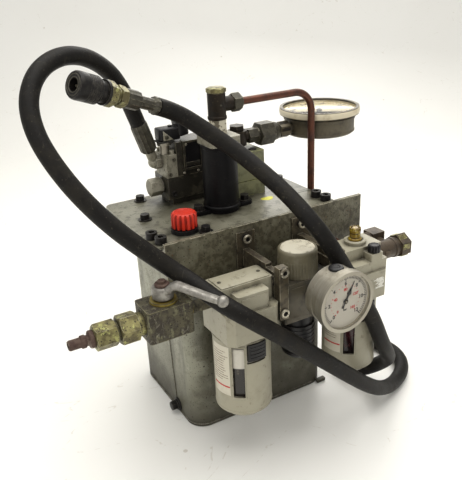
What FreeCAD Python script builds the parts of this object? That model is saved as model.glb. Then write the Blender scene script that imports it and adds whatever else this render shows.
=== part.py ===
import FreeCAD, Part
import math
import os
import re
import Sketcher

# Air driven hydraulic power unit: oil tank, lid, pump, valve stack, air preparation row and hose.
# Origin: centre of the tank's underside. +X runs along the air line to its outlet, +Y is the back.

V = FreeCAD.Vector
doc = FreeCAD.newDocument("power_unit")
parts = {}

# ---------------------------------------------------------------- driving sizes, millimetres
SIZES = [
    # oil tank and lid
    ("tank_length", 196), ("tank_width", 160), ("tank_height", 250), ("tank_corner", 22),
    ("tank_wall", 3), ("gasket_thick", 1), ("lid_thick", 3), ("lid_over_left", 28.5),
    ("lid_over_right", 16.5), ("lid_over_back", 2), ("lid_corner", 10),
    ("plate_over_left", 21), ("plate_over_right", 50), ("plate_thick", 4), ("plate_rise", 3),
    ("plate_height", 70),
    # clearances
    ("fit_gap", 0.3), ("slide_gap", 0.05), ("hole_gap", 0.2),
    # lid screws and filler
    ("big_screw_radius", 4), ("big_head_radius", 6.5), ("big_head_height", 8),
    ("small_screw_radius", 3), ("small_head_flats", 10), ("small_head_height", 6),
    ("washer_radius", 8), ("washer_thick", 1.2), ("screw_reach", 4),
    ("filler_inset", 18), ("filler_setback", 26), ("neck_radius", 10), ("neck_bore", 8),
    ("collar_radius", 15.5), ("collar_height", 5), ("cap_radius", 14.6), ("cap_height", 18),
    # pump
    ("pump_x", -11), ("pump_y", -16), ("barrel_radius", 21), ("barrel_wall", 4),
    ("barrel_height", 81), ("barrel_floor", 6), ("ear_reach", 11), ("ear_thick", 4),
    ("ear_radius", 9), ("rod_radius", 5), ("rod_length", 39), ("piston_height", 12),
    ("stroke", 50), ("suction_radius", 9), ("suction_wall", 3), ("suction_foot", 30),
    ("strainer_radius", 16), ("strainer_height", 30),
    ("head_height", 10), ("head_inset", 3), ("riser_flats", 20), ("riser_height", 18),
    ("tee_radius", 10.5), ("tee_height", 30), ("branch_radius", 8.5), ("branch_reach", 19),
    ("branch_height", 16), ("tee_nut_flats", 19), ("tee_nut_length", 14),
    ("top_nut_height", 6), ("pipe_radius", 4.5), ("pipe_wall", 1.2), ("pipe_stand", 24),
    ("pipe_bend", 25), ("return_drop", 45), ("foot_bend", 14),
    # pressure block and its gauge
    ("block_left", 14), ("block_right", 64), ("block_front", 3), ("block_back", 47),
    ("block_height", 56), ("cover_height", 37), ("banjo_x", 37), ("banjo_y", 24),
    ("banjo_radius", 12), ("banjo_height", 18), ("banjo_lift", 6), ("bolt_radius", 5),
    ("bolt_head_flats", 17), ("bolt_head_height", 7), ("adaptor_flats", 17),
    ("eye_neck_length", 2), ("adaptor_length", 15), ("swivel_flats", 27), ("swivel_length", 32),
    ("stem_flats", 19), ("stem_hex_length", 15), ("stem_to_pipe", 9), ("dial_clear", 1.728),
    ("dial_case", 46.3), ("dial_rim", 52.5),
    ("dial_depth", 25), ("rim_depth", 9), ("rim_land", 4), ("dial_recess", 6),
    ("spindle_radius", 1), ("pointer_hub", 3), ("pointer_thick", 1.2),
    ("dial_pointer", 38), ("pointer_width", 2.4),
    # valve stack
    ("stack_left", -60), ("stack_right", 5), ("stack_front", 28), ("stack_back", 68),
    ("foot_height", 8), ("manifold_height", 28), ("port_thick", 14), ("port_height", 28),
    ("port_depth", 32), ("valve_height", 42), ("valve_depth", 30), ("spool_radius", 5),
    ("spool_length", 34), ("spool_travel", 4), ("plug_flats", 19), ("plug_length", 18),
    ("coil_radius", 6), ("coil_height", 16), ("coil_cap", 9), ("button_radius", 2.5),
    ("button_length", 6), ("button_travel", 2), ("cover_left", -38), ("cover_right", -12),
    ("cover_lift", 7), ("cover_rise", 36), ("cover_depth", 9), ("cover_wall", 2.5),
    # air preparation row
    ("air_stand", 49), ("air_drop", 49.4), ("filter_x", -58.5), ("spacer_gap", 11.5),
    ("module_bore", 7), ("beam_half", 16), ("beam_top", 17.4),
    ("beam_bottom", 9.2), ("boss_half", 19), ("boss_reach", 14), ("boss_top", 11.7),
    ("feed_boss_top", 3.4),
    ("skirt_step", 1), ("skirt_height", 33.4), ("skirt_corner", 7), ("socket_step", 4.4),
    ("socket_depth", 24), ("bowl_radius", 32), ("bowl_wall", 2.5), ("bowl_drop", 143.1),
    ("bowl_corner", 8), ("window_width", 13), ("window_lift", 30), ("window_drop", 49.5),
    ("lock_width", 22), ("lock_drop", 66), ("lock_height", 20), ("lock_travel", 4),
    ("lock_proud", 2.4), ("element_radius", 13), ("element_length", 62), ("element_bore", 6),
    ("regulator_half", 22), ("regulator_top", 2.4), ("regulator_bottom", 44.6),
    ("bonnet_radius", 18.5), ("bonnet_height", 18), ("knob_radius", 22.5), ("knob_height", 32),
    ("knob_wall", 3.4), ("tail_radius", 19), ("tail_height", 58),
    ("port_radius", 6), ("gauge_shift", 0), ("gauge_rise", 3), ("gauge_drop", 17.8),
    ("gauge_stand", 55), ("gauge_case", 31), ("gauge_rim", 33.5), ("gauge_depth", 22),
    ("gauge_rim_depth", 10), ("gauge_land", 4), ("gauge_recess", 4.5), ("gauge_pointer", 23),
    ("dome_offset", 6), ("dome_ring", 12.7), ("dome_ring_height", 4), ("dome_radius", 6.3),
    ("dome_height", 15), ("feed_offset", 14), ("feed_setback", 24), ("feed_radius", 7.3),
    ("feed_height", 9), ("feed_lift", 12.4),
    ("ear_half", 12), ("ear_plate", 2.5), ("ear_rise", 45), ("arm_half", 4),
    ("arm_top", 24), ("bar_gap", 0.25), ("bar_reach", 29), ("bar_deep", 10), ("bar_tall", 32),
    ("ear_screw_rise", 37), ("bar_screw_rise", 24), ("mid_screw_radius", 3),
    ("mid_head_radius", 5), ("mid_head_height", 5), ("bar_head_height", 2.4),
    # air inlet, ball valve and outlet
    ("valve_left", -170), ("valve_right", -121), ("valve_half", 17.5), ("valve_bore", 7),
    ("ball_radius", 13), ("valve_stem", 4), ("seat_ring", 14), ("seat_height", 3),
    ("hub_radius", 11), ("hub_height", 14), ("hub_nut_flats", 13), ("hub_nut_height", 6),
    ("nipple_radius", 6.6), ("union_flats", 27), ("union_length", 26), ("tail_hex", 24),
    ("tail_hex_length", 24), ("tail_collar", 9), ("tail_reach", 25), ("tail_tip", 5.2),
    ("tail_tip_length", 12), ("lever_angle", -58), ("lever_reach", 68), ("lever_width", 11),
    ("lever_thick", 7), ("lever_rise", 8), ("lever_knob", 6),
    ("outlet_radius", 11.5), ("outlet_length", 38), ("outlet_drop", 4), ("outlet_flats", 26), ("outlet_plug", 14),
    ("branch_along", 24), ("branch_set", 23), ("branch_rise", 3.4), ("branch_half", 9),
    ("branch_nut", 13), ("air_pipe_run", 46), ("air_bend", 10),
    # hose
    ("hose_radius", 9.25), ("ferrule_radius", 10.4), ("ferrule_length", 40),
    ("core_radius", 6.5), ("core_length", 26), ("crimp_radius", 10), ("crimp_length", 18),
    ("coupler_hex", 19), ("coupler_hex_length", 9), ("coupler_neck", 8), ("neck_length", 5),
    ("body_hex", 22), ("body_hex_length", 9), ("body_radius", 10.4), ("body_length", 36),
    ("body_bore", 6.5), ("bore_depth", 20), ("sleeve_radius", 13.6), ("sleeve_length", 25),
    ("sleeve_travel", 6), ("sleeve_gap", 0.08),
]

# Sizes that follow from others, so that what stands on, hangs from or passes a piece moves with it.
DERIVED = [
    ("lid_left", "tank_length / 2 + lid_over_left"),
    ("lid_right", "tank_length / 2 + lid_over_right"),
    ("lid_back", "tank_width / 2 + lid_over_back"),
    ("plate_left", "tank_length / 2 + plate_over_left"),
    ("plate_right", "tank_length / 2 + plate_over_right"),
    ("filler_x", "-tank_length / 2 + filler_inset"),
    ("filler_y", "-tank_width / 2 + filler_setback"),
    ("barrel_bore", "barrel_radius - barrel_wall"),
    ("ear_span", "barrel_radius + ear_reach"),
    ("head_side", "2 * barrel_radius - head_inset"),
    ("return_height", "tank_height - return_drop"),
    ("adaptor_end", "banjo_x + banjo_radius + eye_neck_length + adaptor_length"),
    ("swivel_end", "adaptor_end + swivel_length"),
    ("stem_end", "swivel_end + stem_hex_length"),
    ("pipe_x", "max(tank_length / 2 + pipe_stand; stem_end + stem_to_pipe)"),
    ("dial_x", "pipe_x + sqrt((dial_rim + pipe_radius + dial_clear)^2 - (banjo_y - pump_y)^2)"),
    ("lid_height", "tank_height + gasket_thick + lid_thick"),
    ("cover_bottom", "lid_height + foot_height + manifold_height + cover_lift"),
    ("air_y", "-tank_width / 2 - plate_thick - air_stand"),
    ("air_z", "lid_height - air_drop"),
    ("module_half", "bowl_radius"),
    ("module_pitch", "2 * module_half + spacer_gap"),
    ("skirt_half", "bowl_radius + skirt_step"),
    ("socket_radius", "bowl_radius - socket_step"),
    ("bowl_floor", "air_z - bowl_drop"),
    ("window_low", "bowl_floor + window_lift"),
    ("window_high", "air_z - window_drop"),
    ("lock_low", "air_z - lock_drop"),
    ("gauge_x", "filter_x + module_pitch + gauge_shift"),
    ("gauge_z", "air_z + gauge_rise"),
    ("gauge_back", "air_y - gauge_stand"),
    ("branch_x", "filter_x + 2 * module_pitch + module_half + branch_along"),
    ("branch_y", "air_y + branch_set"),
    ("branch_z", "air_z + branch_rise"),
    ("air_pipe_x", "branch_x - air_pipe_run"),
]

sheet = doc.addObject("Spreadsheet::Sheet", "dims")
rows = SIZES + [(alias, "=" + text) for alias, text in DERIVED]
for row, (alias, content) in enumerate(rows, start=1):
    sheet.set("A%d" % row, str(content))
    sheet.setAlias("A%d" % row, alias)
doc.recompute()
ALIASES = {alias for alias, content in rows}


# ---------------------------------------------------------------- helpers
def formula(text):
    """An expression in which each size's alias is read from the sheet."""
    def prefix(match):
        word = match.group()
        return "dims." + word if word in ALIASES else word
    return re.sub(r"[A-Za-z_][A-Za-z_0-9]*", prefix, str(text))


def value(text):
    """The number that an expression has now."""
    return float(sheet.evalExpression(formula(text)))


def bind(obj, path, text):
    obj.setExpression(path, formula(text))


def place(obj, x, y, z):
    bind(obj, "Placement.Base.x", x)
    bind(obj, "Placement.Base.y", y)
    bind(obj, "Placement.Base.z", z)
    return obj


TURNS = {
    "+x": FreeCAD.Rotation(V(0, 1, 0), 90), "-x": FreeCAD.Rotation(V(0, 1, 0), -90),
    "+y": FreeCAD.Rotation(V(1, 0, 0), -90), "-y": FreeCAD.Rotation(V(1, 0, 0), 90),
    "+z": FreeCAD.Rotation(),
}


def box(name, x, y, z):
    """A block between two expressions along each axis."""
    obj = doc.addObject("Part::Box", name)
    for prop, (low, high) in (("Length", x), ("Width", y), ("Height", z)):
        bind(obj, prop, "(%s) - (%s)" % (high, low))
    return place(obj, x[0], y[0], z[0])


def rod(name, radius, height, at, way="+z"):
    """A cylinder that starts at a point and runs along an axis."""
    obj = doc.addObject("Part::Cylinder", name)
    bind(obj, "Radius", radius)
    bind(obj, "Height", height)
    obj.Placement = FreeCAD.Placement(V(), TURNS[way])
    return place(obj, *at)


def hexagon(name, flats, height, at, way="+z"):
    """A hexagonal prism, given its width across flats."""
    obj = doc.addObject("Part::Prism", name)
    obj.Polygon = 6
    bind(obj, "Circumradius", "(%s) / sqrt(3)" % flats)
    bind(obj, "Height", height)
    obj.Placement = FreeCAD.Placement(V(), TURNS[way])
    return place(obj, *at)


def ball(name, radius, at):
    obj = doc.addObject("Part::Sphere", name)
    bind(obj, "Radius", radius)
    return place(obj, *at)


def fuse(name, *shapes):
    obj = doc.addObject("Part::MultiFuse", name)
    obj.Shapes = list(shapes)
    obj.Refine = True
    return obj


def cut(name, base, *tools):
    tool = tools[0] if len(tools) == 1 else fuse(name + "_tools", *tools)
    obj = doc.addObject("Part::Cut", name)
    obj.Base = base
    obj.Tool = tool
    obj.Refine = True
    return obj


def common(name, base, tool):
    obj = doc.addObject("Part::Common", name)
    obj.Base = base
    obj.Tool = tool
    return obj


def group(name, *shapes):
    """Separate solids that share one node, such as a set of fasteners."""
    obj = doc.addObject("Part::Compound", name)
    obj.Links = list(shapes)
    return obj


def profile(body, name, plane_role, points):
    """A closed sketch whose corners are bound to expressions."""
    sketch = body.newObject("Sketcher::SketchObject", name + "_sketch")
    plane = [f for f in body.Origin.OriginFeatures if f.Role == plane_role][0]
    sketch.AttachmentSupport = [(plane, "")]
    sketch.MapMode = "FlatFace"
    corners = [V(value(u), value(v), 0) for u, v in points]
    count = len(points)
    for i in range(count):
        sketch.addGeometry(Part.LineSegment(corners[i], corners[(i + 1) % count]), False)
    for i in range(count):
        sketch.addConstraint(Sketcher.Constraint("Coincident", i, 2, (i + 1) % count, 1))
    for i, (u, v) in enumerate(points):
        for kind, text, now in (("DistanceX", u, corners[i].x), ("DistanceY", v, corners[i].y)):
            index = sketch.addConstraint(Sketcher.Constraint(kind, -1, 1, i, 1, now))
            sketch.setExpression("Constraints[%d]" % index, formula(text))
    return sketch


def lathe(name, points, at=("0", "0", "0"), way="+z"):
    """A turned piece: (radius, height) corners revolved about its own axis."""
    body = doc.addObject("PartDesign::Body", name)
    sketch = profile(body, name, "XZ_Plane", points)
    doc.recompute()
    turn = body.newObject("PartDesign::Revolution", name + "_turn")
    turn.Profile = sketch
    turn.ReferenceAxis = (sketch, ["V_Axis"])
    turn.Angle = 360
    sketch.Visibility = False
    body.Placement = FreeCAD.Placement(V(), TURNS[way])
    return place(body, *at)


def slab(name, x, y, z, corner, feature="Fillet"):
    """A block with its upright edges rounded or chamfered."""
    body = doc.addObject("PartDesign::Body", name)
    points = [(x[0], y[0]), (x[1], y[0]), (x[1], y[1]), (x[0], y[1])]
    sketch = profile(body, name, "XY_Plane", points)
    pad = body.newObject("PartDesign::Pad", name + "_pad")
    pad.Profile = sketch
    bind(pad, "Length", "(%s) - (%s)" % (z[1], z[0]))
    doc.recompute()
    upright = []
    for i, edge in enumerate(pad.Shape.Edges, start=1):
        if abs(edge.BoundBox.ZLength - edge.Length) < 1e-6:
            upright.append("Edge%d" % i)
    dress = body.newObject("PartDesign::" + feature, name + "_edges")
    dress.Base = (pad, upright)
    bind(dress, "Radius" if feature == "Fillet" else "Size", corner)
    sketch.Visibility = False
    return place(body, "0", "0", z[0])


def extruded(name, points, width):
    """A side profile in local X and Z, padded to both sides of its plane."""
    body = doc.addObject("PartDesign::Body", name)
    sketch = profile(body, name, "XZ_Plane", points)
    doc.recompute()
    pad = body.newObject("PartDesign::Pad", name + "_pad")
    pad.Profile = sketch
    pad.Midplane = True
    bind(pad, "Length", width)
    sketch.Visibility = False
    return body


def bent_wire(points, radii):
    """Straight runs joined by tangent arcs of the given radii."""
    edges = []
    start = points[0]
    for before, corner, after, radius in zip(points, points[1:], points[2:], radii):
        way_in = (corner - before).normalize()
        way_out = (after - corner).normalize()
        half_turn = way_in.getAngle(way_out) / 2
        setback = radius * math.tan(half_turn)
        first = corner - way_in * setback
        last = corner + way_out * setback
        inward = (way_out - way_in).normalize()
        middle = corner + inward * (radius / math.cos(half_turn) - radius)
        edges.append(Part.LineSegment(start, first).toShape())
        edges.append(Part.Arc(first, middle, last).toShape())
        start = last
    edges.append(Part.LineSegment(start, points[-1]).toShape())
    return Part.Wire(edges)


def swept(wire, radius):
    """A round bar of the given radius along a wire."""
    start = wire.Edges[0].Vertexes[0].Point
    way = wire.Edges[0].tangentAt(wire.Edges[0].FirstParameter)
    ring = Part.Wire([Part.makeCircle(radius, start, way)])
    return wire.makePipeShell([ring], True, False)


def bar(name, shape):
    obj = doc.addObject("Part::Feature", name)
    obj.Shape = shape
    return obj


def along(obj, start, way):
    """Stands a piece that was drawn along +Z on a slanting axis."""
    for path in ("x", "y", "z"):
        obj.setExpression("Placement.Base." + path, None)
    obj.Placement = FreeCAD.Placement(start, FreeCAD.Rotation(V(0, 0, 1), way))
    return obj


def keep(label, obj):
    """Names a finished sub-part, which is written to its own file."""
    obj.Label = label
    parts[label] = obj
    return obj


# ---------------------------------------------------------------- places that several pieces use
LID_UNDER = "(tank_height + gasket_thick)"
LID_TOP = "lid_height"
PLATE_BACK = "(-tank_width / 2)"
PLATE_FRONT = "(-tank_width / 2 - plate_thick)"
BARREL_TOP = "(%s + barrel_height)" % LID_TOP
HEAD_TOP = "(%s + head_height)" % BARREL_TOP
RISER_TOP = "(%s + riser_height)" % HEAD_TOP
TEE_TOP = "(%s + tee_height)" % RISER_TOP
BRANCH_Z = "(%s + branch_height)" % RISER_TOP
BLOCK_TOP = "(%s + block_height)" % LID_TOP
BANJO_BASE = "(%s + banjo_lift)" % BLOCK_TOP
LINE_Z = "(%s + banjo_height / 2)" % BANJO_BASE
MANIFOLD_BASE = "(%s + foot_height)" % LID_TOP
MANIFOLD_TOP = "(%s + manifold_height)" % MANIFOLD_BASE
MODULES = {
    "filter": "filter_x",
    "regulator": "(filter_x + module_pitch)",
    "lubricator": "(filter_x + 2 * module_pitch)",
}
SPACERS = ["(filter_x + module_pitch / 2)", "(filter_x + 1.5 * module_pitch)"]
SKIRT_TOP = "(air_z - beam_bottom)"
SKIRT_LOW = "(%s - skirt_height)" % SKIRT_TOP
SOCKET_TOP = "(%s + socket_depth)" % SKIRT_LOW
VALVE_X = "((valve_left + valve_right) / 2)"
VALVE_TOP = "(air_z + valve_half)"
HUB_BASE = "(%s + seat_height + fit_gap)" % VALVE_TOP

BIG_SCREWS = [
    ("-lid_left + 7", "-tank_width / 2 + 28"), ("-lid_left + 10", "-tank_width / 2 + 10"),
    ("lid_right - 10.5", "-tank_width / 2 + 29"), ("lid_right - 9.5", "-tank_width / 2 + 11"),
]
SMALL_SCREWS = [
    ("-tank_length / 2 + 16", "lid_back - 12"), ("-lid_left + 23.5", "5"),
    ("filler_x + 18", "-tank_width / 2 + 10"), ("60", "-tank_width / 2 + 10"),
    ("tank_length / 2 - 16", "lid_back - 12"), ("lid_right - 11.5", "30"),
    ("pump_x - ear_span", "pump_y"), ("pump_x + ear_span", "pump_y"),
]

# Where the hose's elbow sits on the port block.
FITTING = ("stack_left - 8", "stack_front + 18", MANIFOLD_TOP + " + 18")

# Axis of the valve outlet's ferrule and of the quick coupler, as points and directions.
FITTING_CENTRE = V(*[value(text) for text in FITTING])
FERRULE_WAY = V(-0.34, -0.14, 0.93).normalize()
FERRULE_START = FITTING_CENTRE + FERRULE_WAY * 16
COUPLER_START = V(-98, -48, 395)
COUPLER_WAY = V(-0.885, -0.29, 0.36).normalize()

# Centre line of the hose, from the ferrule on the valve to the quick coupler.
FERRULE_LENGTH = value("ferrule_length")
HOSE_ROUTE = [
    FERRULE_START + FERRULE_WAY * FERRULE_LENGTH,
    FERRULE_START + FERRULE_WAY * (FERRULE_LENGTH + 21),
    V(-104, 30, 402), V(-121, 18, 426), V(-148, 4, 445), V(-178, -11, 451),
    V(-206, -26, 442), V(-223, -40, 421), V(-227, -55, 396), V(-221, -72, 369),
    V(-204, -90, 334), V(-178, -107, 298), V(-150, -117, 269), V(-128, -123, 247),
    V(-111, -142, 232), V(-98, -168, 219), V(-77, -186, 203), V(-41, -190, 172),
    V(6, -190, 129), V(49, -188, 89), V(87, -181, 54), V(123, -166, 26), V(158, -151, 11),
    V(187, -136, 10.5), V(207, -112, 10.5), V(211, -81, 11), V(198, -52, 10.5),
    V(170, -38, 11), V(140, -48, 10.5), V(126, -74, 11), V(131, -101, 12),
    V(145, -118, 22), V(149, -138, 41), V(140, -157, 62), V(122, -170, 85),
    V(104, -179, 111), V(88, -182, 145), V(70, -181, 179), V(49, -176, 218),
    V(31, -172, 251), V(18, -155, 277), V(9, -126, 299), V(-3, -95, 319),
    V(-20, -69, 340), V(-45, -51, 362),
    COUPLER_START - COUPLER_WAY * 28, COUPLER_START,
]


# ---------------------------------------------------------------- oil tank, lid and mounting plate
def half(size, inset="0"):
    return "(-%s / 2 + %s)" % (size, inset), "(%s / 2 - %s)" % (size, inset)


def make_tank():
    outer = slab("tank_outer", half("tank_length"), half("tank_width"), ("0", "tank_height"),
                 "tank_corner")
    inner = slab("tank_inner", half("tank_length", "tank_wall"), half("tank_width", "tank_wall"),
                 ("tank_wall", "tank_height + 1"), "tank_corner - tank_wall")
    port = rod("tank_return_port", "pipe_radius - pipe_wall", "tank_wall + 2",
               ("tank_length / 2 - tank_wall - 1", "pump_y", "return_height"), "+x")
    keep("tank", cut("tank_shell", outer, inner, port))


def make_gasket():
    outer = slab("gasket_outer", half("tank_length"), half("tank_width"),
                 ("tank_height", LID_UNDER), "tank_corner")
    inner = slab("gasket_inner", half("tank_length", "tank_wall"), half("tank_width", "tank_wall"),
                 ("tank_height - 1", LID_UNDER + " + 1"), "tank_corner - tank_wall")
    keep("lid_gasket", cut("gasket_ring", outer, inner))


def make_lid():
    plate = slab("lid_blank", ("-lid_left", "lid_right"), (PLATE_BACK, "lid_back"),
                 (LID_UNDER, LID_TOP), "lid_corner")
    low = LID_UNDER + " - 1"
    deep = "lid_thick + 2"
    holes = [
        rod("lid_filler_hole", "neck_radius + hole_gap", deep, ("filler_x", "filler_y", low)),
        rod("lid_pump_hole", "suction_radius + hole_gap", deep, ("pump_x", "pump_y", low)),
    ]
    for i, (x, y) in enumerate(BIG_SCREWS):
        holes.append(rod("lid_big_%d" % i, "big_screw_radius + hole_gap", deep, (x, y, low)))
    for i, (x, y) in enumerate(SMALL_SCREWS):
        holes.append(rod("lid_small_%d" % i, "small_screw_radius + hole_gap", deep, (x, y, low)))
    keep("lid_plate", cut("lid_drilled", plate, *holes))


def make_front_plate():
    top = LID_TOP + " + plate_rise"
    plate = box("plate_blank", ("-plate_left", "plate_right"), (PLATE_FRONT, PLATE_BACK),
                (top + " - plate_height", top))
    holes = []
    for i, x in enumerate(SPACERS):
        holes.append(rod("plate_hole_%d" % i, "mid_screw_radius + hole_gap", "plate_thick + 2",
                         (x, PLATE_BACK + " + 1", "air_z + ear_screw_rise"), "-y"))
    holes.append(rod("plate_air_hole", "pipe_radius - pipe_wall", "plate_thick + 2",
                     ("air_pipe_x", PLATE_BACK + " + 1", "branch_z"), "-y"))
    keep("front_plate", cut("plate_drilled", plate, *holes))


def socket_screw(name, radius, head_radius, head_height, shank, at, way):
    """A cap screw whose head sits on a face, with its hexagon socket."""
    into = {"+z": "-z", "-y": "+y"}[way]
    x, y, z = at
    head = rod(name + "_head", head_radius, head_height, at, way)
    if into == "-z":
        stem = rod(name + "_stem", radius, shank, (x, y, "(%s) - (%s)" % (z, shank)))
        low = (x, y, "(%s) + (%s) / 2" % (z, head_height))
    else:
        stem = rod(name + "_stem", radius, shank, at, "+y")
        low = (x, "(%s) - (%s) / 2" % (y, head_height), z)
    socket = hexagon(name + "_socket", head_radius, head_height, low, way)
    return cut(name, fuse(name + "_blank", head, stem), socket)


def make_screws():
    screws = []
    for i, (x, y) in enumerate(BIG_SCREWS):
        screws.append(socket_screw("big_screw_%d" % i, "big_screw_radius", "big_head_radius",
                                   "big_head_height", "lid_thick + screw_reach",
                                   (x, y, LID_TOP), "+z"))
    for i, x in enumerate(SPACERS):
        screws.append(socket_screw("ear_screw_%d" % i, "mid_screw_radius", "mid_head_radius",
                                   "mid_head_height", "ear_plate + plate_thick",
                                   (x, PLATE_FRONT + " - ear_plate", "air_z + ear_screw_rise"),
                                   "-y"))
        for side, rise in (("top", "bar_screw_rise"), ("low", "-bar_screw_rise")):
            screws.append(socket_screw("bar_%s_%d" % (side, i), "mid_screw_radius",
                                       "mid_head_radius", "bar_head_height", "bar_deep / 2",
                                       (x, "air_y - bar_reach", "air_z + " + rise), "-y"))
    keep("socket_screws", group("socket_screw_set", *screws))


def make_flange_bolts():
    bolts = []
    for i, (x, y) in enumerate(SMALL_SCREWS):
        on_ear = i >= len(SMALL_SCREWS) - 2
        seat = LID_TOP + (" + ear_thick" if on_ear else "")
        name = "flange_bolt_%d" % i
        washer = rod(name + "_washer", "washer_radius", "washer_thick", (x, y, seat))
        head = hexagon(name + "_head", "small_head_flats", "small_head_height",
                       (x, y, seat + " + washer_thick"))
        reach = "lid_thick + screw_reach" + (" + ear_thick" if on_ear else "")
        stem = rod(name + "_stem", "small_screw_radius", reach,
                   (x, y, "(%s) - (%s)" % (seat, reach)))
        bolts.append(fuse(name, washer, head, stem))
    keep("flange_bolts", group("flange_bolt_set", *bolts))


def make_filler():
    top = "neck_top"
    z = {"low": "-10", "lid": "0", "ring": "collar_height", top: "collar_height + 12"}
    keep("filler_neck", lathe("filler_neck_body", [
        ("neck_bore", z["low"]), ("neck_radius", z["low"]), ("neck_radius", z["lid"]),
        ("collar_radius", z["lid"]), ("collar_radius", z["ring"]), ("neck_radius", z["ring"]),
        ("neck_radius", z[top]), ("neck_bore", z[top]),
    ], ("filler_x", "filler_y", LID_TOP)))
    bore = "neck_radius + fit_gap"
    keep("filler_cap", lathe("filler_cap_body", [
        (bore, "0"), ("cap_radius", "0"), ("cap_radius", "cap_height - 1.5"),
        ("cap_radius - 1.5", "cap_height"), ("0", "cap_height"), ("0", "cap_height - 4"),
        (bore, "cap_height - 4"),
    ], ("filler_x", "filler_y", LID_TOP + " + collar_height + fit_gap")))


# ---------------------------------------------------------------- pump, tee and return pipe
def make_pump():
    at = ("pump_x", "pump_y", LID_TOP)
    barrel = rod("barrel_outer", "barrel_radius", "barrel_height", at)
    ear = box("ear_bar", ("pump_x - ear_span", "pump_x + ear_span"),
              ("pump_y - ear_radius", "pump_y + ear_radius"), (LID_TOP, LID_TOP + " + ear_thick"))
    ends = [rod("ear_end_%s" % s, "ear_radius", "ear_thick",
                ("pump_x %s ear_span" % s, "pump_y", LID_TOP)) for s in "-+"]
    bore = rod("barrel_bore_cut", "barrel_bore", "barrel_height",
               ("pump_x", "pump_y", LID_TOP + " + barrel_floor"))
    rod_hole = rod("barrel_rod_hole", "rod_radius + slide_gap", "barrel_floor + 2",
                   ("pump_x", "pump_y", LID_TOP + " - 1"))
    holes = [rod("ear_hole_%s" % s, "small_screw_radius + hole_gap", "ear_thick + 2",
                 ("pump_x %s ear_span" % s, "pump_y", LID_TOP + " - 1")) for s in "-+"]
    keep("pump_barrel", cut("barrel_bored", fuse("barrel_blank", barrel, ear, *ends), bore,
                            rod_hole, *holes))
    floor = "barrel_floor + 4"
    keep("pump_piston", lathe("pump_piston_body", [
        ("0", floor + " - rod_length"), ("rod_radius", floor + " - rod_length"),
        ("rod_radius", floor), ("barrel_bore - slide_gap", floor),
        ("barrel_bore - slide_gap", floor + " + piston_height"), ("0", floor + " + piston_height"),
    ], at))
    head = slab("head_block", ("pump_x - head_side / 2", "pump_x + head_side / 2"),
                ("pump_y - head_side / 2", "pump_y + head_side / 2"), (BARREL_TOP, HEAD_TOP), "4")
    keep("barrel_head", head)
    keep("riser_hex", hexagon("riser_body", "riser_flats", "riser_height",
                              ("pump_x", "pump_y", HEAD_TOP)))
    foot = "suction_foot"
    top = LID_TOP
    keep("suction_pipe", lathe("suction_body", [
        ("suction_radius - suction_wall", foot), ("strainer_radius", foot),
        ("strainer_radius", foot + " + strainer_height"),
        ("suction_radius", foot + " + strainer_height"), ("suction_radius", top),
        ("suction_radius - suction_wall", top),
    ], ("pump_x", "pump_y", "0")))


def make_tee():
    body = rod("tee_upright", "tee_radius", "tee_height", ("pump_x", "pump_y", RISER_TOP))
    branch = rod("tee_branch", "branch_radius", "branch_reach", ("pump_x", "pump_y", BRANCH_Z), "+x")
    bore = rod("tee_bore", "pipe_radius - pipe_wall", "branch_reach + 1",
               ("pump_x", "pump_y", BRANCH_Z), "+x")
    keep("tee_body", cut("tee_bored", fuse("tee_blank", body, branch), bore))
    top = hexagon("tee_top_nut", "tee_nut_flats + 1", "top_nut_height", ("pump_x", "pump_y", TEE_TOP))
    side = hexagon("tee_side_hex", "tee_nut_flats", "tee_nut_length",
                   ("pump_x + branch_reach", "pump_y", BRANCH_Z), "+x")
    hole = rod("tee_nut_hole", "pipe_radius + fit_gap", "tee_nut_length + 2",
               ("pump_x + branch_reach - 1", "pump_y", BRANCH_Z), "+x")
    keep("tee_nuts", group("tee_nut_set", top, cut("tee_side_nut", side, hole)))


def make_return_pipe():
    y = value("pump_y")
    wall_x = value("tank_length / 2")
    start = V(value("pump_x + branch_reach"), y, value(BRANCH_Z))
    top = V(value("pipe_x"), y, value(BRANCH_Z))
    foot = V(value("pipe_x"), y, value("return_height"))
    end = V(wall_x, y, value("return_height"))
    wire = bent_wire([start, top, foot, end], [value("pipe_bend"), value("foot_bend")])
    outer = swept(wire, value("pipe_radius"))
    inner = swept(wire, value("pipe_radius - pipe_wall"))
    keep("return_pipe", bar("return_pipe_bar", outer.cut(inner)))
    hexes = hexagon("union_hex", "tee_nut_flats", "10",
                    ("tank_length / 2", "pump_y", "return_height"), "+x")
    hole = rod("union_hole", "pipe_radius + fit_gap", "12",
               ("tank_length / 2 - 1", "pump_y", "return_height"), "+x")
    keep("return_union", cut("union_bored", hexes, hole))


# ---------------------------------------------------------------- pressure block and gauge
def make_pressure_block():
    block = slab("block_body", ("block_left", "block_right"), ("block_front", "block_back"),
                 (LID_TOP, BLOCK_TOP), "2")
    seam = LID_TOP + " + block_height - cover_height"
    groove = cut("seam_ring",
                 box("seam_out", ("block_left - 1", "block_right + 1"),
                     ("block_front - 1", "block_back + 1"), (seam, seam + " + 1")),
                 box("seam_in", ("block_left + 1", "block_right - 1"),
                     ("block_front + 1", "block_back - 1"), (seam + " - 1", seam + " + 2")))
    hole = rod("block_port", "bolt_radius + hole_gap", "12", ("banjo_x", "banjo_y", BLOCK_TOP + " - 11"))
    keep("pressure_block", cut("block_drilled", block, groove, hole))


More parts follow.
